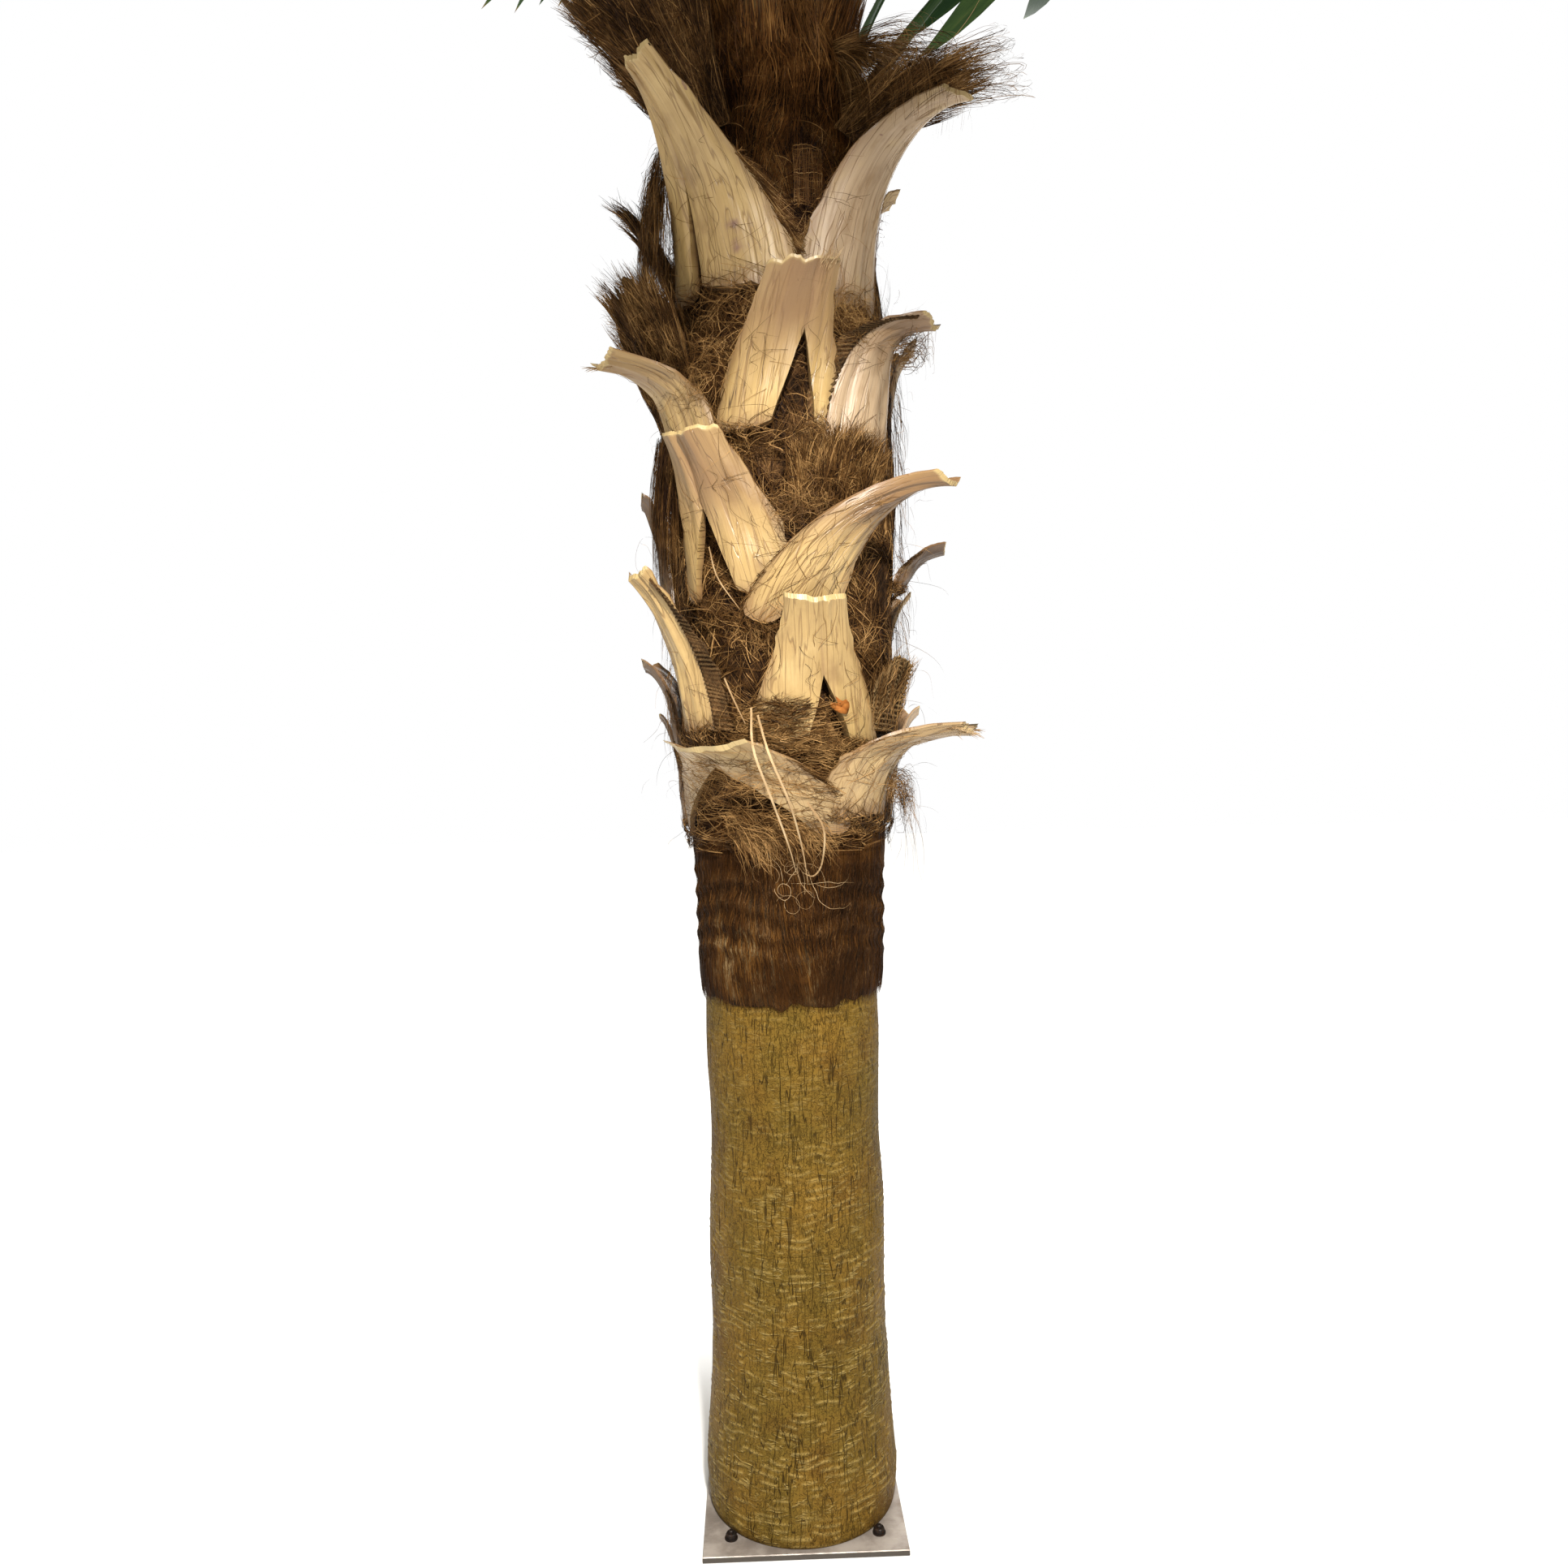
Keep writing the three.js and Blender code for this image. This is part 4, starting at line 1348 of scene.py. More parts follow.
@dataclass
class LeafBase:
    """One cut leaf base: a dished stalk whose foot spreads into two rounded limbs."""

    number: int
    strap: Strap
    tone: Tone
    split: Split
    groove: float = 0.004
    fray: float = 0.004
    scars: tuple[tuple[float, float], ...] = ()
    bevel: float = 0.012
    # Share of painted shade over the upper part, where the crown and the leaf bases above shade it.
    painted_upper_shade: float = 0.0
    thickness: float = 0.017
    edge: float = 0.007
    gutter: float = 0.016
    wander: float = 0.035
    rows: int = 40
    columns: int = 17
    seed: int = 400
    swell: float = 0.008
    rib: float = 0.0013
    warp: float = 0.002

    def depth(self, u: Array, v: Array, outside: bool) -> Array:
        """Returns the distance of a face out from the strap's inner face."""
        dish = self.gutter * u * u * v * v
        if not outside:
            return -dish
        crease = self.groove * np.exp(-(((v - self.split.place) / 0.1) ** 2)) * ease(u / 0.15)
        swell = self.swell * np.exp(-(((u - 0.22) / 0.2) ** 2)) * (1 - v * v)
        ribs = np.sin(11 * v + self.number + 1.3 * u) + 0.7 * np.sin(23 * v + 2.1 * self.number - u)
        body = blend(self.thickness, self.edge, v * v) * blend(1.0, 0.55, ease((u - 0.55) / 0.45))
        return body - dish + swell - crease + self.rib * ribs * (1 - v**4)

    def skin(self) -> Skin:
        """Returns the leaf base as a closed skin."""
        rng = np.random.default_rng(self.seed + self.number)
        along = np.concatenate([np.linspace(0.0, 1.0, self.rows - 2) ** 0.9 * 0.985, [0.993, 1.0]])
        gap = self.split.width * np.clip(1 - along / self.split.height, 0.0, 1.0) ** 0.7
        across = np.linspace(0.0, 1.0, self.columns)
        left = blend(-1.0, (self.split.place - gap * (1 + self.split.skew))[:, None], across[None, :])
        right = blend((self.split.place + gap * (1 - self.split.skew))[:, None], 1.0, across[None, :])
        v = np.concatenate([left, right], axis=1)
        knots = np.arange(0, self.rows, 3)
        ragged = np.interp(np.arange(self.rows), knots, rng.normal(0, self.wander, len(knots)))
        other = np.where(v > 0, 1.0, np.roll(ragged, 7)[:, None] / self.wander)
        v = v * (1 + ragged[:, None] * np.abs(v) ** 3 * other)
        tuck = min(1.0, self.split.width / 0.12)
        limb = np.abs(2 * across - 1) ** 3 * np.where(across > 0.5, tuck, 1.0)
        round_foot = 0.05 * np.concatenate([limb, limb[::-1]])
        round_foot = round_foot + 0.012 * np.abs(rng.normal(0, 1, 2 * self.columns))
        wave = np.interp(v[-1], np.linspace(-1, 1, 7), rng.normal(0, 0.014, 7))
        jag = self.fray * rng.normal(0, 1, 2 * self.columns) + 0.03 * rng.normal() * v[-1] + wave
        for rim in (jag, round_foot):
            rim[self.columns] = rim[self.columns - 1]
        rows = along[:, None]
        u = rows + round_foot[None, :] * (1 - ease(rows / 0.35))
        u = np.clip(u * (1 + np.clip(jag, -0.12, 0.02)[None, :] * ease((rows - 0.75) / 0.25)), 0.0, 1.0)
        warp = self.warp * np.sin(v * 7 + self.number) * np.sin(u * 9 + self.number * 2) * ease(u / 0.2)
        slant = u - self.bevel * ease((rows - 0.86) / 0.14)
        outer = self.strap.point(slant, v, self.depth(slant, v, True) + warp)
        inner = self.strap.point(u, v, self.depth(u, v, False) + warp)
        points, faces, sharp = thicken(outer, inner, self._quads(along))
        skin = Skin(points, faces, sharp=sharp)
        self._dress(skin, u, v, along)
        return skin

    def _quads(self, along: Array) -> Array:
        """Returns the quads of one face, with the two limbs joined above the split."""
        width, middle = 2 * self.columns, self.columns
        row, column = np.meshgrid(np.arange(self.rows - 1), np.arange(width - 1), indexing="ij")
        joined = lambda r, c: (c == middle) & (along[r] >= self.split.height)
        number = lambda r, c: r * width + np.where(joined(r, c), c - 1, c)
        places = ((row, column), (row, column + 1), (row + 1, column + 1), (row + 1, column))
        return np.stack([number(*place)[column != middle - 1] for place in places], axis=1)

    def _dress(self, skin: Skin, u: Array, v: Array, along: Array) -> None:
        """Gives the skin the values and the grain map that its finish reads.

        Args:
            skin: The closed skin.
            u: Place along the strap of each point of a face.
            v: Place across it.
            along: Place of each row before the ends were made ragged.
        """
        length = abs(self.strap.cut - self.strap.foot) * MM + 0.12
        side = v * self.strap.width(u) / 2
        grain = np.stack([side + self.number * 0.37, u * length + self.number * 0.61], axis=2)
        cut = np.tile(np.repeat(ease((along - 0.988) / 0.012), v.shape[1]), 2)
        # Darker at the foot, from fibre left on it and from painted shade; painted shade also along the
        # edges, in the crease over the split and over the upper part.
        soil_and_shade = 0.8 * ease((0.12 - u) / 0.12) + 0.5 * ease((np.abs(v) - 0.76) / 0.24) * ease((0.85 - u) / 0.4)
        soil_and_shade = soil_and_shade + self.painted_upper_shade * ease((u - 0.28) / 0.5) * (1 - 0.5 * np.abs(v))
        soil_and_shade = soil_and_shade + 80 * self.groove * (np.abs(v - self.split.place) < 1e-3) * ease((0.95 - u) / 0.3)
        scar = np.zeros_like(u)
        for up, out in self.scars:
            scar = np.maximum(scar, ease(1.6 - np.hypot((u - up) * length, side - out) / 0.008))
        skin.values = {
            "tone": np.full(2 * u.size, self.tone.value),
            "lining": np.repeat([0.0, 0.85], u.size) * (1 - cut),
            "cut": cut * 0.8,
            "soil_and_shade": np.tile(np.clip(soil_and_shade, 0, 0.85).ravel(), 2),
            "scar": np.tile(scar.ravel(), 2),
        }
        skin.grain = np.tile(grain.reshape(-1, 2), (2, 1))


# Some leaf bases take painted shade over their upper part, where the crown and the leaf bases above shade
# them.
FRONT_LEAF_BASES: tuple[LeafBase, ...] = (
    LeafBase(1, Strap(-19, -10, 1395, 1565, 360, 390, 155, 2.0, 1.6), Tone.BUFF,
             Split(-0.2, 0.72, 0.6), 0.002, bevel=0.03),
    LeafBase(2, Strap(36, 24, 1425, 1592, 410, 190, 78, 2.8, 1.7), Tone.BUFF,
             Split(0.6, 0.04, 0.2), 0.005, 0.06, painted_upper_shade=0.3),
    LeafBase(3, Strap(-52, -6.5, 1600, 1905, 350, 108, 70, 1.1, 2.2), Tone.GOLD,
             Split(0.55, 0.03, 0.15), 0.003),
    LeafBase(4, Strap(15.5, -5.5, 1560, 1840, 310, 275, 125, 1.0, 2.4), Tone.GOLD,
             Split(0.1, 0.3, 0.5), 0.006, bevel=0.02),
    LeafBase(5, Strap(-105, -5, 1560, 1755, 320, 130, 70, 1.5, 2.0), Tone.UMBER,
             Split(0.0, 0.1, 0.4)),
    LeafBase(6, Strap(-23, -14, 1850, 2165, 320, 250, 140, 1.0, 2.4, 1.3), Tone.GOLD,
             Split(-0.27, 0.37, 0.56, 0.2), 0.005, painted_upper_shade=0.9),
    LeafBase(7, Strap(0, 57, 1800, 2070, 390, 185, 80, 1.7, 1.8, 1, 17), Tone.GOLD,
             Split(0.7, 0.03, 0.15), 0.003, painted_upper_shade=1.4),
    LeafBase(8, Strap(85, 8, 1895, 1982, 345, 100, 42, 2.2, 1.3), Tone.UMBER,
             Split(0.0, 0.1, 0.4)),
    LeafBase(9, Strap(-49, -8, 2110, 2300, 415, 160, 84, 2.7, 1.9), Tone.GOLD,
             Split(0.5, 0.03, 0.2), 0.004, painted_upper_shade=0.6),
    LeafBase(10, Strap(-5, 14, 2165, 2465, 310, 228, 140, 1.0, 2.4, 1.3), Tone.GOLD,
             Split(0.32, 0.34, 0.6), 0.006, painted_upper_shade=1.0),
    LeafBase(11, Strap(36.5, 27, 2120, 2395, 345, 170, 74, 2.5, 2.4), Tone.ROSE,
             Split(-0.6, 0.03, 0.15), 0.003, painted_upper_shade=0.9),
    LeafBase(12, Strap(-27.5, -15.5, 2440, 2845, 400, 300, 80, 1.1, 1.7, 1.05), Tone.GOLD,
             Split(-0.36, 0.085, 0.5), 0.006, scars=((0.18, 0.040), (0.27, 0.042))),
    LeafBase(13, Strap(30, 37, 2405, 2840, 420, 185, 62, 1.5, 1.9, 1.3), Tone.ROSE,
             Split(0.55, 0.03, 0.25), 0.005),
)
BACK_ROWS: tuple[tuple[float, float, int, float, float], ...] = (
    (110, 250, 3, 1410, 1600),
    (128, 195, 2, 1585, 1865),
    (145, 265, 3, 1815, 2115),
    (125, 250, 3, 2130, 2400),
    (130, 205, 2, 2452, 2790),
)


@dataclass
class LeafBases:
    """All the cut leaf bases, with the fibres along their edges and over their feet."""

    reach: float = 385
    side_reach: float = 295
    lean: float = 16
    cut: float = 50
    seed: int = 7
    foot_seed: int = 700
    edge_seed: int = 900
    fray_seed: int = 1000
    hair_seed: int = 1100
    row_stride: int = 5
    back_shape: tuple[float, ...] = (135, 86, 1.5, 2.0)
    foot_fibres: int = 230
    deep_fibres: int = 5000
    bare_foot_fibres: int = 120
    edge_fibres: int = 50
    bare_edge_fibres: int = 30
    few_hairs: int = 24
    many_hairs: int = 100
    umber: tuple[int, ...] = (16, 21)
    bare: tuple[int, ...] = (6, 7, 13)
    flaked: int = 4
    margins: tuple[tuple[int, int, float], ...] = ((3, 1, 0.036), (11, -1, 0.042))
    hairy: dict[int, int] = field(default_factory=lambda: {1: 420, 2: 110, 7: 70, 11: 40, 12: 34})
    deep: dict[int, float] = field(default_factory=lambda: {4: 0.30})
    fringed: dict[tuple[int, int], int] = field(default_factory=lambda: {(12, 1): 620})
    frays: tuple[tuple[int, float, float, int], ...] = (
        (10, 0.35, 0.85, 46), (2, -0.9, 0.9, 60), (9, -0.9, 0.2, 30)
    )
    pieces: list[LeafBase] = field(default_factory=list)

    def build(self, finishes: Finishes) -> None:
        """Builds and dresses the leaf bases."""
        tones = [Tone.GOLD, Tone.BUFF, Tone.ROSE, Tone.GOLD]
        self.pieces = list(FRONT_LEAF_BASES)
        for number, strap in enumerate(self._back_straps(), start=len(self.pieces) + 1):
            tone = Tone.UMBER if number in self.umber else tones[number % len(tones)]
            self.pieces.append(LeafBase(number, strap, tone, Split(0.3 * (-1) ** number, 0.16, 0.5)))
        for piece in self.pieces:
            name = f"leaf_base_{piece.number:02d}"
            add_piece(f"cut_{name}", piece.skin(), finishes["leaf_base"], [name])
        add_piece("foot_fibre", self._foot_fibre(), finishes["fibre"])
        add_piece("lying_hair", self._lying_hair(), finishes["fibre"])
        add_piece("frayed_cuts", self._frayed_cuts(), finishes["straw"])
        add_piece("edge_fibre", self._edge_fibre(), finishes["fibre"])
        bands = [self._margin(self.pieces[number - 1], side, width) for number, side, width in self.margins]
        add_piece("margin_bands", Skin.join(bands), finishes["mat"])
        add_piece("dry_flake", self._flake(self.pieces[self.flaked - 1]), finishes["rust"])

    def _share(self, piece: int, trait: int) -> float:
        """Returns a repeatable share from -1 to 1 for a piece and a trait."""
        return math.fmod(math.sin(piece * 12.99 + trait * 78.23 + self.seed) * 43758.55, 1.0)

    def _back_straps(self) -> list[Strap]:
        """Returns the straps that carry the pattern round the back."""
        straps = []
        for row, (start, end, count, foot, cut) in enumerate(BACK_ROWS):
            for place in range(count):
                piece = row * self.row_stride + place
                turn = blend(start, end, place / (count - 1))
                reach = blend(self.reach, self.side_reach, abs(math.sin(math.radians(turn))))
                lean, rise = self.lean * self._share(piece, 1), self.cut * self._share(piece, 2)
                straps.append(Strap(turn, lean, foot, cut + rise, reach, *self.back_shape))
        return straps

    def _foot_fibre(self) -> Skin:
        """Returns the fibres that come up over the feet, from the sleeve below them."""
        skins, t = [], stations(7)
        for piece in self.pieces:
            deep = self.deep.get(piece.number, 0.0)
            count = self.foot_fibres + int(self.deep_fibres * deep)
            count = self.bare_foot_fibres if piece.number in self.bare else count
            draws = Draws(self.foot_seed + piece.number, count)
            v0 = draws.even(-1.25, 1.25)
            u = blend(-0.20, 0.02 + deep * (v0 < 0.08), draws.even(0.0, 1.0))
            u = u + draws.even(0.03, 0.15) * t * (1 - deep)
            v = v0 + draws.bell(0.32) * t + 0.08 * np.sin(t * 5 + v0 * 8)
            lift = draws.even(0.0005, 0.007) * bow(0.1, 0.85, t) + 0.0008
            on = np.clip(u, 0, 1)
            depth = piece.depth(on, np.clip(np.abs(v), 0, 1), True) * ease((u + 0.12) / 0.13) + lift
            paths = piece.strap.point(on, v, depth)
            paths[..., 2] += np.minimum(u, 0.0) * (piece.strap.cut - piece.strap.foot) * MM
            skins.append(draws.fibres(paths, (0.0007, 0.0017), (0.50, 0.2)))
        return Skin.join(skins)

    def _edge_fibre(self) -> Skin:
        """Returns the fibres that fray from the edges of the leaf bases."""
        skins, t = [], stations(6)
        for piece in self.pieces:
            fewest = self.bare_edge_fibres if piece.number in self.bare else self.edge_fibres
            draws = Draws(self.edge_seed + piece.number, fewest)
            for side in (-1, 1):
                more = self.fringed.get((piece.number, side), 0)
                draws.count = int(fewest * (1 + 2 * draws.rng.random())) + more
                u0 = draws.even(0.0, draws.rng.uniform(0.4, 0.8))
                u = np.clip(u0 + draws.even(-0.16, 0.06) * t, 0.0, 0.98)
                away = draws.even(0.0, 0.42 if more else 0.3) ** 1.5
                v = side * (0.97 + draws.bell(0.03, 0.02) + away * t)
                depth = piece.depth(u, np.clip(np.abs(v), 0, 1), True) * draws.even(0.0, 1.3)
                paths = piece.strap.point(u, v, depth + draws.bell(0.003) * t + 0.0006)
                skins.append(draws.fibres(paths, (0.0007, 0.0016), (0.50, 0.2)))
        return Skin.join(skins)

    def _lying_hair(self) -> Skin:
        """Returns the long hairs that lie on the outer faces."""
        skins, t = [], stations(12)
        for piece in self.pieces:
            count = self.hairy.get(piece.number, self.few_hairs)
            draws = Draws(self.hair_seed + piece.number, count)
            u = np.clip(draws.even(0.0, 0.75) + draws.even(-0.3, 0.3) * t, 0.0, 0.97)
            v = draws.even(-0.95, 0.95) + draws.bell(0.45) * t
            v = np.clip(v + 0.1 * np.sin(t * draws.even(2, 7) + draws.even(0, 6)), -1.08, 1.08)
            lift = 0.0008 + draws.even(0.0, 0.004) * np.sin(math.pi * t)
            paths = piece.strap.point(u, v, piece.depth(u, np.clip(v, -1, 1), True) + lift)
            shade = 0.66 if count > self.many_hairs else 0.4
            skins.append(draws.fibres(paths, (0.0005, 0.0010), (shade, 0.2), 0.3))
        return Skin.join(skins)

    def _frayed_cuts(self) -> Skin:
        """Returns the dry fibres that stand out of some of the cuts."""
        skins, t = [], stations(6)
        for number, low, high, count in self.frays:
            draws, piece = Draws(self.fray_seed + number, count), self.pieces[number - 1]
            u = draws.even(0.90, 0.98) + draws.even(0.03, 0.12) * t
            v = draws.even(low, high) + draws.even(-0.2, 0.2) * t**2
            depth = piece.depth(np.ones_like(v), np.clip(v, -1, 1), True) * draws.even(0.2, 1.0)
            depth = depth + draws.even(0.0, 0.012) * t**2
            skins.append(draws.fibres(piece.strap.beyond(u, v, depth), (0.0009, 0.0020), (0.45, 0.2)))
        return Skin.join(skins)

    def _margin(
        self, piece: LeafBase, side: int, width: float, top: float = 0.94, rib: float = 0.009
    ) -> Skin:
        """Returns a band of ribbed fibre cloth along one edge of a leaf base.

        Args:
            piece: The leaf base.
            side: -1 for the left edge, 1 for the right one.
            width: Width of the band.
            top: Place along the leaf base where the band ends.
            rib: Distance from rib to rib.

        Returns:
            The band as a closed skin.
        """
        rows, columns, edge = 150, 9, 0.93
        u = np.linspace(0.0, top, rows)[:, None]
        length = (piece.strap.cut - piece.strap.foot) * MM * 1.15
        across = stations(columns)
        reach = width * (0.25 + 0.75 * ease((top - u) / 0.6)) * (1 + 0.12 * np.sin(u * 40))
        v = side * (edge + across * reach / (piece.strap.width(u) / 2))
        wander = 1.4 * np.sin(u * 19 + 3 * across)
        ribs = np.sin((u * length + 0.3 * across * width) / rib * 2 * math.pi + wander)
        ribs = ribs * blend(0.4, 1.0, ease(0.5 + np.sin(u * 31 + 2 * across)))
        depth = blend(piece.depth(u, np.full_like(u, edge), True) + 0.001, 0.003, across) + 0.0026 * ribs
        outer, inner = piece.strap.point(u, v, depth + 0.0015), piece.strap.point(u, v, depth - 0.001)
        points, faces, _ = thicken(outer, inner, grid_quads(rows, columns)[:, ::side])
        # Paler on the ribs' crests: painted highlight.
        pale = np.clip(0.05 + 0.18 * ribs, 0, 1)
        return Skin(points, faces, {"pale": np.tile(pale.ravel(), 2)})

    def _flake(self, piece: LeafBase) -> Skin:
        """Returns the ragged dry flake that clings to a leaf base."""
        rng, sides = np.random.default_rng(self.seed), 16
        turn = np.arange(sides) / sides * 2 * math.pi
        rim = rng.uniform(0.45, 1.15, sides)
        share = np.array([0.05, 0.5, 1.0])[:, None]
        u = 0.30 + 0.075 * share * rim * np.sin(turn)
        v = 0.29 + 0.15 * share * rim * np.cos(turn)
        depth = piece.depth(u, v, True) + 0.0015 + 0.004 * share * rng.uniform(0, 1, (1, sides))
        outer, inner = piece.strap.point(u, v, depth + 0.001), piece.strap.point(u, v, depth)
        points, faces, _ = thicken(outer, inner, grid_quads(3, sides, closed=True)[:, ::-1])
        return Skin(points, faces, {"shade": np.tile(rng.uniform(0.3, 0.8, u.size), 2)})


@dataclass(frozen=True)
class MatPlace:
    """Where a fibre mat stands. Millimetres and degrees."""

    turn: float
    span: float
    foot: float
    cut: float
    reach: float
    fibres: int = 1500
    shade: float = 0.46
    ribs: float = 0.0


MAT_PLACES: tuple[MatPlace, ...] = (
    MatPlace(-60, 62, 2795, 3085, 450, 3600, 0.34),
    MatPlace(60, 30, 2800, 2866, 445, 2200, 0.52),
    MatPlace(123, 44, 2840, 3075, 375),
    MatPlace(180, 58, 2795, 3070, 420),
    MatPlace(238, 46, 2795, 3085, 375),
    MatPlace(-64, 48, 2215, 2475, 365, 3600, 0.48),
    MatPlace(24, 40, 2010, 2150, 290, 2600),
    MatPlace(63, 40, 1598, 1745, 268, 420, 0.62, 0.0030),
    MatPlace(156, 24, 2215, 2470, 350),
    MatPlace(-100, 36, 2490, 2720, 335, 2200, 0.30),
)


@dataclass
class FibreMats:
    """Fibre mats: thin felted sheets with ragged rims and a coat of loose fibres."""

    thickness: float = 0.007
    arch: float = 1.15
    flare: float = 1.35
    rows: int = 22
    ribbed_rows: int = 110
    columns: int = 44
    ragged: float = 0.09
    sheet_seed: int = 1200
    coat_seed: int = 1300
    wave: float = 0.006
    crossing: float = 0.12
    outside: float = 0.62

    def build(self, finishes: Finishes) -> None:
        """Builds and dresses the mats."""
        for number, place in enumerate(MAT_PLACES, start=1):
            strap, name = self._strap(place), f"fibre_mat_{number}"
            add_piece(f"sheet_{name}", self._sheet(strap, place, number), finishes["mat"], [name])
            add_piece(f"coat_{name}", self._coat(strap, place, number), finishes["fibre"])

    def _strap(self, place: MatPlace) -> Strap:
        """Returns the strap that a mat follows."""
        angle = math.radians(place.span)
        widths = angle * float(SLEEVE_OUTLINE.at(place.foot * MM)) / MM, angle * place.reach
        return Strap(place.turn, 0.0, place.foot, place.cut, place.reach, *widths, self.arch, self.flare)

    def _wave(self, u: Array, v: Array, place: MatPlace, number: int) -> Array:
        """Returns how far the sheet waves in and out."""
        folds = np.sin(v * 6 + number * 2.1 + 2 * u) + 0.6 * np.sin(v * 13 + number)
        return self.wave * ease(u / 0.4) * folds + place.ribs * self._ribs(u, v)

    def _ribs(self, u: Array, v: Array) -> Array:
        """Returns the ribs across a ribbed sheet, from -1 to 1."""
        return np.sin(u * 100 + 0.8 * v)

    def _sheet(self, strap: Strap, place: MatPlace, number: int) -> Skin:
        """Returns the felted sheet of one mat."""
        rng = np.random.default_rng(self.sheet_seed + number)
        ribbed = place.ribs > 0
        rows = self.ribbed_rows if ribbed else self.rows
        v = np.linspace(-1.0, 1.0, self.columns)[None, :]
        rim = 1.0 - self.ragged * np.abs(rng.normal(0, 1, self.columns))
        corner = 1.0 - 0.45 * np.abs(v[0]) ** 3
        u = np.linspace(0.0, 1.0, rows)[:, None] * np.clip(rim * corner, 0.45, 1.0)[None, :]
        wave = self._wave(u, v, place, number)
        thin = self.thickness * blend(1.0, 0.35, ease(u))
        outer, inner = strap.point(u, v, wave + thin), strap.point(u, v, wave)
        points, faces, _ = thicken(outer, inner, grid_quads(rows, self.columns))
        # pale lightens the sheet towards its rim and paints highlights on the crests of a ribbed sheet.
        pale = 0.25 * ease((u - 0.75) / 0.25) + (0.3 + 0.3 * self._ribs(u, v)) * ribbed
        return Skin(points, faces, {"pale": np.tile(pale.ravel(), 2)})

    def _coat(self, strap: Strap, place: MatPlace, number: int) -> Skin:
        """Returns the loose fibres on both faces of one mat, run out past its rim."""
        count, steps = place.fibres, 6
        draws, t = Draws(self.coat_seed + number, count), stations(steps)
        rng = draws.rng
        run = draws.even(0.07, 0.19) / strap.length()
        v0 = draws.even(-1.03, 1.03)
        rim = 1.02 - 0.42 * np.abs(v0) ** 3
        u0 = np.sqrt(draws.even(0.0, 1.0)) * rim - run * 0.7
        cross = np.where(rng.random(count) < self.crossing, rng.choice([-1.1, 1.1], count), 0.0)[:, None]
        heading = cross + draws.bell(0.24) + draws.bell(0.4) * t
        end = rim + 0.02 + 0.16 * rng.random(count)[:, None] ** 2
        u = np.clip(u0 + np.cumsum(np.cos(heading), axis=1) / steps * run, 0.0, end)
        v = v0 + np.cumsum(np.sin(heading), axis=1) / steps * 0.10 / (strap.width(u) / 2)
        v = np.clip(v, -1.15, 1.02)
        outside = rng.random(count)[:, None] < self.outside
        lift = draws.even(0.0005, 0.006) * bow(0.1, 0.75, t) + 0.0006
        wave = self._wave(u, np.clip(v, -1, 1), place, number)
        depth = np.where(outside, self.thickness + lift, -lift) + wave
        shade = place.shade + 0.3 * ease((u0[:, 0] - 0.55) / 0.45)
        return draws.fibres(strap.beyond(u, v, depth), (0.0007, 0.0016), (shade, 0.24))


# Crown


@dataclass(frozen=True)
class Frond:
    """Where one frond stands. Bearings in radians, sizes in metres."""

    number: int
    age: float
    turn: float
    start: Array
    knee: Array
    end: Array
    roll: float


